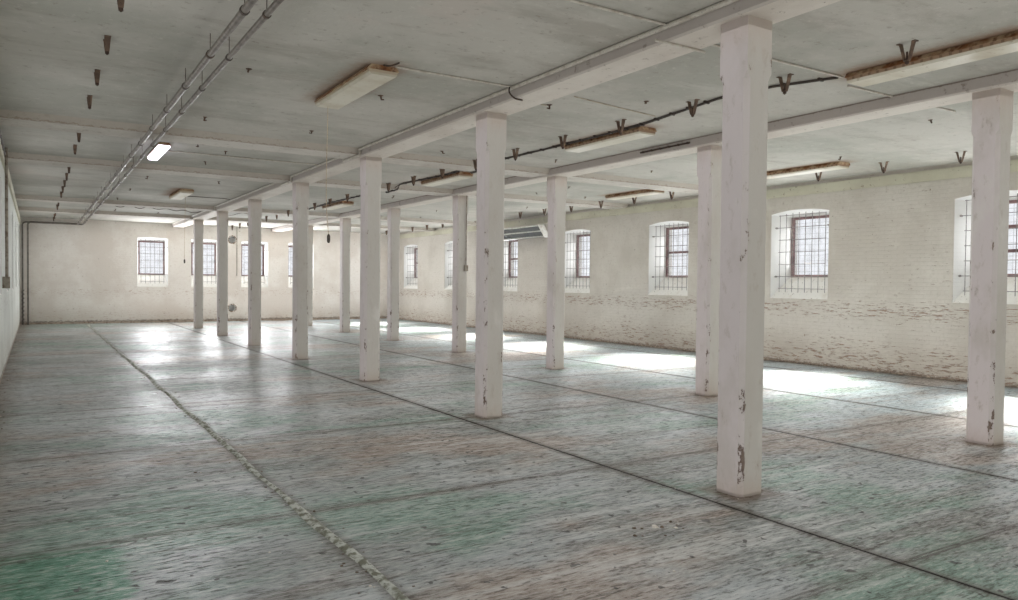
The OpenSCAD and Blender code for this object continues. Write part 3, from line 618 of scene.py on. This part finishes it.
def steel(name, base, worn, roughness=0.5, metallic=0.0, scale=12):
    f = Finish(name, base, roughness=roughness, metallic=metallic)
    f.paint(f.ramp(f.noise(scale, 5, shift=4.0), 0.42, 0.68), worn)
    f.paint(f.ramp(f.noise(scale * 4, 3, shift=8.0), 0.6, 0.75), tone(70, 50, 38), 0.6)
    f.raise_by(f.noise(scale * 8, 3), 0.0006)
    return f.done()


def glass():
    f = Finish("window_glass", tone(232, 236, 244), roughness=0.12)
    dust = f.ramp(f.noise(3.0, 3, shift=5.0), 0.3, 0.75, 0.05, 0.2)
    f.feed(f.shader.inputs["Alpha"], dust)
    f.gloss(f.ramp(f.noise(9, 3), 0.4, 0.7), 0.35)
    return f.done()


def cover(lit):
    f = Finish("light_cover_lit" if lit else "light_cover", tone(214, 208, 192), roughness=0.4)
    f.paint(f.ramp(f.noise(3, 4, shift=3.0), 0.4, 0.75), tone(190, 178, 154), 0.7)
    f.paint(f.ramp(f.noise(18, 4, shift=9.0), 0.6, 0.75), tone(150, 124, 92), 0.5)
    slots = f.near(f.math("PINGPONG", f.y, 0.045), 0.0, 0.012, 0.004)
    upper = f.ramp(f.z, CEILING - 0.078, CEILING - 0.07)
    rusty = f.both(upper, f.ramp(f.x, -1.0, 1.0))
    f.paint(upper, tone(196, 176, 150), 0.7)
    f.paint(rusty, tone(150, 116, 90), 0.85)
    f.paint(f.both(rusty, slots), tone(96, 70, 54), 0.6)
    f.raise_by(f.noise(60, 2), 0.0005)
    if lit:
        f.shader.inputs["Emission Color"].default_value = tone(236, 232, 255)
        f.shader.inputs["Emission Strength"].default_value = 6.0
    return f.done()


def tray():
    f = Finish("light_tray", tone(190, 166, 136), roughness=0.7)
    f.paint(f.ramp(f.noise(5, 5, shift=2.0), 0.4, 0.62), tone(140, 96, 62))
    f.paint(f.ramp(f.noise(16, 4, shift=8.0), 0.5, 0.7), tone(96, 58, 36), 0.8)
    f.raise_by(f.noise(50, 3), 0.001)
    return f.done()


def bricks_outside():
    f = Finish("edge_brick", tone(158, 118, 96), roughness=0.9)
    f.paint(f.ramp(f.noise(3, 5), 0.35, 0.7), tone(124, 88, 70))
    mortar = courses(f, f.math("ADD", f.x, f.y))
    f.paint(mortar, tone(170, 162, 150), 0.8)
    f.raise_by(mortar, -0.004)
    f.raise_by(f.noise(20, 4), 0.003)
    return f.done()


dress(concrete(), "floor_slab", "door_threshold")
dress(floor_top_and_window_light(), "floor_strips")
right_paint = wall_finish(
    "right_wall_paint", tone(207, 200, 191), tone(193, 185, 175), tone(140, 108, 90), True, 0.1, 0.03
)
dress(right_paint, "right_wall_base", "right_wall_piers", "right_wall_head")
left_paint = wall_finish(
    "left_wall_paint", tone(222, 225, 218), tone(206, 208, 201), tone(152, 138, 120), True, 0.05, 0.06
)
dress(left_paint, "left_wall_base", "left_wall_piers", "left_wall_head")
far_paint = wall_finish(
    "far_wall_paint", tone(246, 240, 233), tone(233, 224, 215), tone(182, 150, 126), False, 0.07, 0.08
)
dress(far_paint, "far_wall_base", "far_wall_piers", "far_wall_head")
near_paint = wall_finish(
    "near_wall_paint", tone(214, 208, 190), tone(200, 194, 176), tone(160, 130, 106), False, 0.05, 0.12
)
dress(near_paint, "near_wall_base", "near_wall_piers", "near_wall_head")
dress(plaster(), "side_window_sills", "end_window_sills")
frame_look = plain_paint("frame_paint", tone(146, 116, 114), tone(98, 74, 76), tone(220, 216, 214), 5, 0.55)
dress(frame_look, "right_window_frames", "left_window_frames", "end_window_frames")
dress(glass(), "side_window_glass", "end_window_glass")
dress(column_paint_and_light(), "left_columns", "right_columns")
dress(beam_paint_and_shade(), "left_beam", "right_beam")
dress(rib_paint_and_shade(), "aisle_ribs")
band_look = plain_paint("band_paint", tone(206, 202, 182), tone(190, 184, 164), tone(130, 112, 92), 1.1)
dress(band_look, "wall_bands")
dress(ceiling_finish(), "ceiling_slab")
felt_look = plain_paint("roof_felt", tone(92, 92, 92), tone(74, 74, 75), tone(120, 118, 112), 0.7, 0.9)
dress(felt_look, "roof_covering")
dress(bricks_outside(), "roof_edge")
dress(tray(), "light_housings")
pipe_look = steel("pipe_paint", tone(128, 120, 112), tone(98, 90, 84), 0.42)
dress(pipe_look, "heating_pipes", "pipe_elbows")
dress(steel("hanger_steel", tone(78, 70, 64), tone(104, 84, 68), 0.6), "pipe_hangers")
dress(steel("hook_steel", tone(96, 78, 66), tone(132, 108, 90), 0.7), "ceiling_hooks")
conduit_look = steel("conduit_paint", tone(206, 200, 190), tone(184, 174, 162), 0.5)
dress(conduit_look, "beam_conduit", "cross_conduits")
dress(steel("cable_sheath", tone(66, 58, 54), tone(88, 78, 70), 0.55), "aisle_cable")
dress(steel("heater_dark", tone(64, 64, 66), tone(84, 82, 80), 0.45, scale=5), "heater_casing")
trim_look = steel("heater_trim", tone(196, 194, 188), tone(168, 160, 148), 0.45)
dress(trim_look, "heater_rails", "heater_brackets")
switch_look = steel("switch_paint", tone(150, 142, 128), tone(108, 92, 78), 0.5)
dress(switch_look, "wall_riser", "column_switch", "far_wall_conduit")


# Light covers: one tube still burns


def light_covers():
    """The covers of all the lights, as the CAD has them, with the lit one as its own piece."""
    source = nodes["light_diffusers"].data
    looks = {False: cover(False), True: cover(True)}
    lit_x, lit_y = LIT_LIGHT
    for lit in (False, True):
        keep = []
        for face in source.polygons:
            middle = face.center
            here = abs(middle.x - lit_x) < 0.3 and abs(middle.y - lit_y) < LIT_LENGTH
            if here == lit:
                keep.append(tuple(face.vertices))
        used = sorted({k for face in keep for k in face})
        at = {k: n for n, k in enumerate(used)}
        shape = Shape()
        shape.points = [source.vertices[k].co.copy() for k in used]
        shape.faces = [tuple(at[k] for k in face) for face in keep]
        name = "lit_light_cover" if lit else "light_covers"
        piece = shape.make(name, looks[lit])
        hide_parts("light_diffusers")


light_covers()


# Window grilles and outer meshes


def on_wall(side, sign):
    """Turns a place along a wall, its depth into the wall and its height into a point."""
    if side:
        return lambda run, depth, z: Vector((sign * (HALF_W + depth), run, z))
    return lambda run, depth, z: Vector((run, sign * (HALF_L + depth), z))


def reveal_half(inner, outer, depth):
    return inner / 2 + (outer - inner) / 2 * depth / SPLAY


def head_height(inner, rise, depth, off):
    crown = FRAME_HEAD + CROWN_LIFT + (CROWN_END - CROWN_LIFT) * depth / SPLAY
    radius = (inner * inner / 4 + rise * rise) / (2 * rise)
    return crown - radius + math.sqrt(radius * radius - off * off)


BAR_R = 0.007
BAR_PITCH = 0.165
RAIL_PITCH = 0.27
RAIL_FROM = FLOOR + 1.615
RAILS = 7
HELD_RAILS = (1, 5)
GRILLE_DEPTH = 0.12
WIRE_R = 0.0022
WIRE_PITCH = 0.12
WIRE_DEPTH = 0.56


def grille(shape, place, middle, inner, outer, rise):
    half = reveal_half(inner, outer, GRILLE_DEPTH)
    count = int((2 * half - 0.12) / BAR_PITCH) + 1
    sill = SILL + (FRAME_SILL - SILL) * GRILLE_DEPTH / SPLAY
    offs = [(k - (count - 1) / 2) * BAR_PITCH for k in range(count)]
    for off in offs:
        top = head_height(inner, rise, GRILLE_DEPTH, off) - 0.02
        start = place(middle + off, GRILLE_DEPTH, sill + 0.002)
        shape.prism(start, place(middle + off, GRILLE_DEPTH, top), BAR_R)
    for k in range(RAILS):
        z = RAIL_FROM + k * RAIL_PITCH
        held = k in HELD_RAILS
        end = half if held else offs[-1] + 0.02
        end = min(end, half)
        depth = GRILLE_DEPTH - 2 * BAR_R
        shape.prism(place(middle - end, depth, z), place(middle + end, depth, z), BAR_R)
        if held:
            for sign in (-1, 1):
                at = middle + sign * (half - 0.012)
                shape.prism(place(at, depth - 0.03, z), place(at, depth + 0.03, z), 0.02, 4)


def wire_mesh(shape, place, middle, outer):
    half = outer / 2
    count = round(outer / WIRE_PITCH)
    for k in range(1, count):
        run = middle - half + outer * k / count
        start = place(run, WIRE_DEPTH, FRAME_SILL - 0.02)
        shape.prism(start, place(run, WIRE_DEPTH, FRAME_HEAD + 0.01), WIRE_R, 4)
    rows = round((FRAME_HEAD - FRAME_SILL) / WIRE_PITCH)
    for k in range(rows + 1):
        z = FRAME_SILL + 0.01 + (FRAME_HEAD - FRAME_SILL - 0.02) * k / rows
        depth = WIRE_DEPTH + 2 * WIRE_R
        shape.prism(place(middle - half, depth, z), place(middle + half, depth, z), WIRE_R, 4)


grille_steel = steel("grille_steel", tone(124, 120, 120), tone(160, 152, 146), 0.6, scale=20)
zinc = steel("mesh_zinc", tone(150, 152, 156), tone(120, 118, 118), 0.5, scale=20)
# Each wall's name, whether it is a side wall, its sign, its windows, and each opening's inner and
# outer width and arch rise
WALLS = (
    ("right", True, 1, SIDE_WINDOWS, 1.47, 1.02, 0.07),
    ("left", True, -1, SIDE_WINDOWS, 1.47, 1.02, 0.07),
    ("far", False, 1, END_WINDOWS, 1.10, 0.96, 0.024),
    ("near", False, -1, END_WINDOWS, 1.10, 0.96, 0.024),
)
for wall, side, sign, windows, inner, outer, rise in WALLS:
    place = on_wall(side, sign)
    bars = Shape()
    wires = Shape()
    for middle in windows:
        grille(bars, place, middle, inner, outer, rise)
        wire_mesh(wires, place, middle, outer)
    bars.make(wall + "_grilles", grille_steel)
    wires.make(wall + "_wire_meshes", zinc)


# Bolts in the hooks, wiring and small leftovers on the ceiling

HOOK_LINES = [-16.187 + BAY / 3 * k for k in range(25)]
# Each row's x, how far its hooks hang down, and how far from a rib they stop
HOOK_ROWS = ((-6.2, 0.125, 0.49), (0.0, 0.17, 0.45), (6.13, 0.17, 0.45))
MIDDLE_RUN = -11.18
RUN_CLEAR = 0.13
BOLT_R = 0.009
HEAD_R = 0.019
NUT_R = 0.017


def off_rib(y):
    return min(abs(y - rib) for rib in RIBS)


def hook_bolts():
    shape = Shape()
    for x, deep, clear in HOOK_ROWS:
        for y in HOOK_LINES:
            beside_run = x == 0.0 and abs(y - MIDDLE_RUN) <= RUN_CLEAR
            if off_rib(y) <= clear or beside_run:
                continue
            low = CEILING - deep
            shape.prism((x, y, low - 0.03), (x, y, low + 0.085), BOLT_R, 8)
            shape.prism((x, y, low - 0.022), (x, y, low), HEAD_R, 6)
            shape.prism((x, y, low + 0.008), (x, y, low + 0.024), NUT_R, 6)
    rust = steel("bolt_rust", tone(88, 70, 60), tone(60, 46, 40), 0.7, scale=40)
    shape.make("hook_bolts", rust)


# The black cable's bends, as places along the hall and across it
CABLE_BENDS = (
    (-11.15, 0.48), (-10.52, 0.22), (-9.79, 0.14), (-8.13, 0.4), (-7.1, 0.41), (-5.92, 0.4), (-4.74, 0.36),
    (-2.19, 0.4), (-0.28, 0.26), (2.02, 0.38), (4.72, 0.3), (7.22, 0.39),
)
CLIP_PITCH = 0.35
RIB_AWAY = 0.5
RIB_SLOPE = 0.13


def cable_x(y):
    for (y0, x0), (y1, x1) in zip(CABLE_BENDS, CABLE_BENDS[1:]):
        if y <= y1:
            return x0 + (x1 - x0) * (y - y0) / (y1 - y0)
    return CABLE_BENDS[-1][1]


def aisle_wires():
    """A thin wire that runs beside the black cable, with the clips that hold both."""
    dice = random.Random(5)
    black = steel("wire_black", tone(58, 50, 46), tone(80, 68, 60), 0.6, scale=30)
    shape = Shape()
    y = -11.0
    route = []
    while y < 7.2:
        rib = off_rib(y)
        drop = RIB_DROP * min(max((RIB_AWAY - rib) / RIB_SLOPE, 0.0), 1.0)
        sag = 0.012 * dice.random() if rib > 0.55 else 0.0
        x = cable_x(y)
        route.append((x - 0.04 - 0.012 * dice.random(), y, CEILING - 0.008 - drop - sag))
        if rib > 0.55 or rib < 0.28:
            top = CEILING - drop
            shape.block((x - 0.06, y - 0.012, top - 0.032), (x + 0.022, y + 0.012, top))
        y += CLIP_PITCH
    shape.tube(route, 0.007)
    shape.make("aisle_wire_and_clips", black)


def loose_wiring():
    """Short dark wires beside the beams, at the lights and along the tops of the walls."""
    dice = random.Random(8)
    shape = Shape()
    top = CEILING - 0.007
    shape.tube([(-2.21, -8.86, top), (-2.22, -8.87, 3.98), (-2.17, -8.88, 3.93), (-2.14, -8.9, 3.91),
                (-2.05, -8.88, 3.913)], 0.009)
    shape.tube([(-3.4, 5.5, top), (-3.1, 5.47, top), (-2.75, 5.4, top - 0.01), (-2.45, 5.45, top),
                (-2.22, 5.62, top)], 0.008)
    shape.tube([(-3.72, -8.83, top), (-3.7, -8.95, top - 0.03), (-3.62, -9.0, top)], 0.009)
    sags = [(0.03 + 0.05 * dice.random()) * (k % 2) for k in range(11)]
    shape.tube([(-4.9 + 0.27 * k, 9.0 + 0.11 * k, top - sag) for k, sag in enumerate(sags)], 0.009)
    shape.tube([(-1.6 + 0.3 * k, 10.2 - 0.26 * k, top - sag) for k, sag in enumerate(sags[:6])], 0.008)
    wall = [(-7.2, -6.4 + 0.3 * k, CEILING - 0.1 - 0.06 * dice.random()) for k in range(20)]
    shape.tube(wall, 0.011)
    shape.tube([(-7.204, y + 0.1, z - 0.05 * dice.random()) for x, y, z in wall], 0.007)
    shape.prism((1.716, -7.78, 4.0), (1.716, -6.67, 4.0), 0.014, 10)
    for k in range(6):
        y = -7.74 + 0.2 * k
        shape.block((1.7, y - 0.012, 3.984), (1.73, y + 0.012, 4.016))
    pipe_x, pipe_y, coil_r = -7.155, 16.405, 0.038
    coil = []
    for k in range(40):
        a = 1.3 * k
        z = FLOOR + 0.05 + 0.024 * a
        coil.append((pipe_x + coil_r * math.cos(a), pipe_y + coil_r * math.sin(a), z))
    shape.tube(coil, 0.009)
    dark = steel("wire_dark", tone(62, 52, 46), tone(96, 74, 58), 0.6, scale=30)
    shape.make("loose_wiring", dark)
    pale = Shape()
    pale.tube([(-1.72, -8.33, top), (-1.52, -8.34, top), (-1.33, -8.34, top)], 0.007)
    pale.tube([(-1.32, -8.89, top), (-0.6, -8.77, top), (0.2, -8.65, top)], 0.007)
    wire_pale = steel("wire_pale", tone(196, 184, 166), tone(160, 146, 128), 0.6)
    pale.make("pale_wiring", wire_pale)


STUBS = (
    (-4.85, -7.88), (-4.79, -5.11), (-3.28, -5.02), (-4.51, -2.88), (-3.97, -2.41), (-4.05, -0.98),
    (-4.71, 1.88),
    (-3.24, 1.89), (-4.78, 4.63), (-4.86, 7.16), (-3.25, -7.6), (-1.31, -8.36), (-1.2, -6.37),
    (-0.44, -9.18), (3.5, -5.01), (5.2, -0.7), (3.7, -0.67), (3.66, -2.08), (5.4, 2.3), (6.7, 7.7),
    (3.76, 4.9), (3.37, -10.54), (5.0, -8.1), (-0.9, -4.6), (1.2, -5.0), (1.1, 2.07), (-0.8, 4.4),
    (-4.6, 10.9), (-3.3, 11.3), (4.4, 7.4),
)


def ceiling_stubs():
    """Cut ends of old fixings that stick out of the ceiling."""
    dice = random.Random(3)
    shape = Shape()
    for x, y in STUBS:
        tilt = Vector((dice.uniform(-0.02, 0.02), dice.uniform(-0.02, 0.02), -dice.uniform(0.025, 0.06)))
        top = Vector((x, y, CEILING))
        shape.prism(top, top + Vector((0, 0, -0.01)), 0.035 * dice.uniform(0.7, 1.2), 7, 0.02)
        shape.prism(top, top + tilt, 0.011, 6)
        if dice.random() < 0.5:
            end = top + tilt
            shape.prism(end, end + Vector((0.035 * dice.choice((-1, 1)), 0.01, 0.008)), 0.008, 6)
    rust = steel("stub_rust", tone(84, 68, 58), tone(122, 96, 78), 0.8, scale=40)
    shape.make("ceiling_stubs", rust)


FLUE_X = 0.15
FLUE_HEIGHTS = (FLOOR + 3.37, FLOOR + 0.54)
RIM_R = 0.15


def flue_rims():
    """Broken plaster around the two blind holes in the far wall."""
    dice = random.Random(2)
    shape = Shape()
    count = 22
    for z in FLUE_HEIGHTS:
        for k in range(count):
            a = 2 * math.pi * k / count + dice.uniform(-0.1, 0.1)
            r = RIM_R * dice.uniform(0.97, 1.1)
            spot = Vector((FLUE_X + r * math.cos(a), HALF_L - 0.004, z + r * math.sin(a)))
            shape.prism(spot, spot + Vector((0, 0.02, 0)), dice.uniform(0.016, 0.03), 5)
    broken = steel("broken_plaster", tone(150, 128, 108), tone(104, 84, 68), 0.9)
    shape.make("flue_rims", broken)


hook_bolts()
aisle_wires()
loose_wiring()
ceiling_stubs()
flue_rims()


# Rubble in the long joint and crumbs on the floor


def rubble_look():
    f = Finish("joint_rubble", tone(182, 184, 176), roughness=0.85)
    f.paint(f.ramp(f.noise(14, 4), 0.42, 0.6), tone(112, 112, 98))
    f.paint(f.ramp(f.noise(40, 3, shift=5), 0.58, 0.68), tone(84, 78, 68), 0.8)
    f.raise_by(f.noise(60, 3), 0.003)
    return f.done()


def rubble_strip():
    across = 9
    step = 0.02
    rows = int(2 * HALF_L / step)
    shape = Shape()
    for j in range(rows + 1):
        y = -HALF_L + 2 * HALF_L * j / rows
        drift = 0.03 * noise.noise(Vector((y * 0.8, 3.1, 0)))
        wide = 0.036 + 0.022 * noise.noise(Vector((y * 1.9, 7.7, 0)))
        for k in range(across):
            share = 2 * k / (across - 1) - 1
            x = RUBBLE_X + drift + share * wide
            lump = noise.noise(Vector((x * 34, y * 22, 1.5)))
            lump += 0.6 * noise.noise(Vector((x * 80, y * 60, 4.5)))
            rise = (1 - share * share) * (0.010 + 0.012 * lump)
            shape.points.append(Vector((x, y, FLOOR + (rise if abs(share) < 1 else -0.002))))
    for j in range(rows):
        for k in range(across - 1):
            a = j * across + k
            shape.faces.append((a, a + 1, a + across + 1, a + across))
    return shape.make("joint_rubble_strip", rubble_look(), smooth=True)


rubble_strip()


JOINT_CRUMBS = 420
FOOT_CRUMBS = 26
WALL_CRUMBS = 500
LOOSE_CRUMBS = 240
DEBRIS = (
    (-3.16, -12.33, 0.03), (-3.3, -12.28, 0.022), (-3.05, -12.42, 0.02), (-3.4, -12.4, 0.018),
    (-3.22, -12.5, 0.016), (-2.98, -12.3, 0.014), (-6.1, -12.9, 0.02), (-5.6, -9.2, 0.018),
)


def crumbs():
    """Crumbs along the joint, round the columns, by the side walls and here and there."""
    dice = random.Random(11)
    shape = Shape()
    pale = Shape()

    def drop(x, y, size):
        target = pale if dice.random() < 0.35 else shape
        target.chip(x, y, FLOOR - 0.001, size, size * dice.uniform(0.3, 0.8), dice)

    for _ in range(JOINT_CRUMBS):
        y = dice.uniform(-HALF_L + 0.1, HALF_L - 0.1)
        drop(RUBBLE_X + dice.gauss(0, 0.06), y, dice.uniform(0.004, 0.014))
    for row in (-ROW_X, ROW_X):
        for i in range(7):
            for _ in range(FOOT_CRUMBS):
                a = dice.uniform(0, 6.28)
                r = 0.15 + abs(dice.gauss(0, 0.09))
                cx, cy = math.cos(a), math.sin(a)
                k = r / max(abs(cx), abs(cy))
                drop(row + k * cx, (i - 3) * BAY + k * cy, dice.uniform(0.003, 0.01))
    for _ in range(WALL_CRUMBS):
        x = dice.choice((-1, 1)) * (HALF_W - 0.02 - abs(dice.gauss(0, 0.12)))
        drop(x, dice.uniform(-HALF_L + 0.1, HALF_L - 0.1), dice.uniform(0.004, 0.016))
    for _ in range(LOOSE_CRUMBS):
        drop(dice.uniform(-7, 7), dice.uniform(-16, 16), dice.uniform(0.003, 0.012))
    for x, y, size in DEBRIS:
        drop(x, y, size)
        drop(x + 0.04, y - 0.03, 0.6 * size)
    dark = steel("crumb_dark", tone(96, 82, 70), tone(128, 112, 98), 0.9, scale=30)
    light = steel("crumb_pale", tone(220, 214, 204), tone(196, 186, 172), 0.9, scale=30)
    shape.make("floor_crumbs_dark", dark)
    pale.make("floor_crumbs_pale", light)


crumbs()


# Light


POWER = {"right": 24, "left": 9, "far": 92, "near": 3, "door": 20, "beam": 115, "sun": 3.0, "sky": 1.0}
FILL_UP = {"near": 185, "far": 215}
FILL_DOWN = {"near": 225, "far": 260}
DEEP = {"right": 12, "left": 3, "far": 20, "near": 3}
SUN_WAY = Vector((-2.1, -2.0, -2.5))
DAYLIGHT = (0.95, 0.97, 1.0)
SUNLIGHT = (1.0, 0.96, 0.88)
FROM_FLOOR = (1.0, 0.98, 0.95)
FROM_CEILING = (0.98, 0.99, 1.0)
PANEL_H = 1.3
DEEP_PANEL_H = 1.2
BEAM_SPREAD = 42
FILL_W = 12
SUN_SOFTNESS = 5
GROUND = 70


def world_light():
    world = bpy.data.worlds.new("pale_world")
    world.use_nodes = True
    back = world.node_tree.nodes["Background"]
    back.inputs["Color"].default_value = (0.93, 0.95, 1.0, 1.0)
    back.inputs["Strength"].default_value = POWER["sky"]
    bpy.context.scene.world = world


def lamp(name, kind, power, colour, middle, facing):
    data = bpy.data.lights.new(name, kind)
    data.energy = power
    data.color = colour
    light = bpy.data.objects.new(name, data)
    light.location = middle
    facing = Vector(facing)
    light.rotation_euler = facing.to_track_quat("-Z", "Z" if abs(facing.z) < 0.5 else "Y").to_euler()
    light.visible_camera = False
    bpy.context.scene.collection.objects.link(light)
    return light


def panel(name, power, colour, middle, facing, width, height, glossy=True, spread=180):
    light = lamp(name, "AREA", power, colour, middle, facing)
    light.data.shape = "RECTANGLE"
    light.data.size = width
    light.data.size_y = height
    light.data.spread = math.radians(spread)
    light.visible_glossy = glossy


def daylight():
    """Each window and the doorway lights the room, and soft beams fall through the right windows."""
    for wall, side, sign, windows, inner, outer, _rise in WALLS:
        place = on_wall(side, sign)
        facing = place(0, -1, 0) - place(0, 0, 0)
        for k, middle in enumerate(windows):
            spot = place(middle, -0.03, (FRAME_SILL + FRAME_HEAD) / 2)
            deep = place(middle, SPLAY - 0.03, (FRAME_SILL + FRAME_HEAD) / 2)
            panel(f"day_{wall}_{k}", POWER[wall], DAYLIGHT, spot, facing, outer, PANEL_H)
            panel(f"deep_{wall}_{k}", DEEP[wall], DAYLIGHT, deep, facing, outer - 0.1, DEEP_PANEL_H)
            if wall == "right" and k:
                start = spot + Vector((-0.35, 0, 0))
                panel(f"beam_{k}", POWER["beam"], SUNLIGHT, start, SUN_WAY, 1.1, 1.0, False, BEAM_SPREAD)
    panel("day_door", POWER["door"], DAYLIGHT, (DOOR_X, -HALF_L - 0.3, FLOOR + 1.2), (0, 1, 0), 2.0, 2.2)
    for part, middle, length in (("near", -10.0, 12), ("far", 6.0, 20)):
        low = (1.5, middle, FLOOR + 0.012)
        high = (0, middle, CEILING - 0.2)
        panel("fill_up_" + part, FILL_UP[part], FROM_FLOOR, low, (0, 0, 1), FILL_W, length, False)
        panel("fill_down_" + part, FILL_DOWN[part], FROM_CEILING, high, (0, 0, -1), FILL_W, length, False)


daylight()
world_light()
sun = lamp("soft_sun", "SUN", POWER["sun"], SUNLIGHT, (0, 0, 20), SUN_WAY)
sun.data.angle = math.radians(SUN_SOFTNESS)


def studio_floor():
    f = Finish("studio_floor", tone(214, 212, 206), roughness=0.9)
    f.paint(f.ramp(f.noise(0.3, 3), 0.3, 0.7), tone(206, 204, 198))
    mesh = bpy.data.meshes.new("studio_floor")
    around = ((-1, -1), (1, -1), (1, 1), (-1, 1))
    mesh.from_pydata([(x * GROUND, y * GROUND, -0.002) for x, y in around], [], [(0, 1, 2, 3)])
    mesh.materials.append(f.done())
    piece = bpy.data.objects.new("studio_floor", mesh)
    bpy.context.scene.collection.objects.link(piece)


studio_floor()
bpy.context.scene.view_settings.view_transform = "Standard"
bpy.context.scene.view_settings.look = "None"
cycles = bpy.context.scene.cycles
cycles.max_bounces = 4
cycles.diffuse_bounces = 3
cycles.glossy_bounces = 2
cycles.transparent_max_bounces = 8
cycles.caustics_reflective = False
cycles.caustics_refractive = False

bpy.context.view_layer.update()
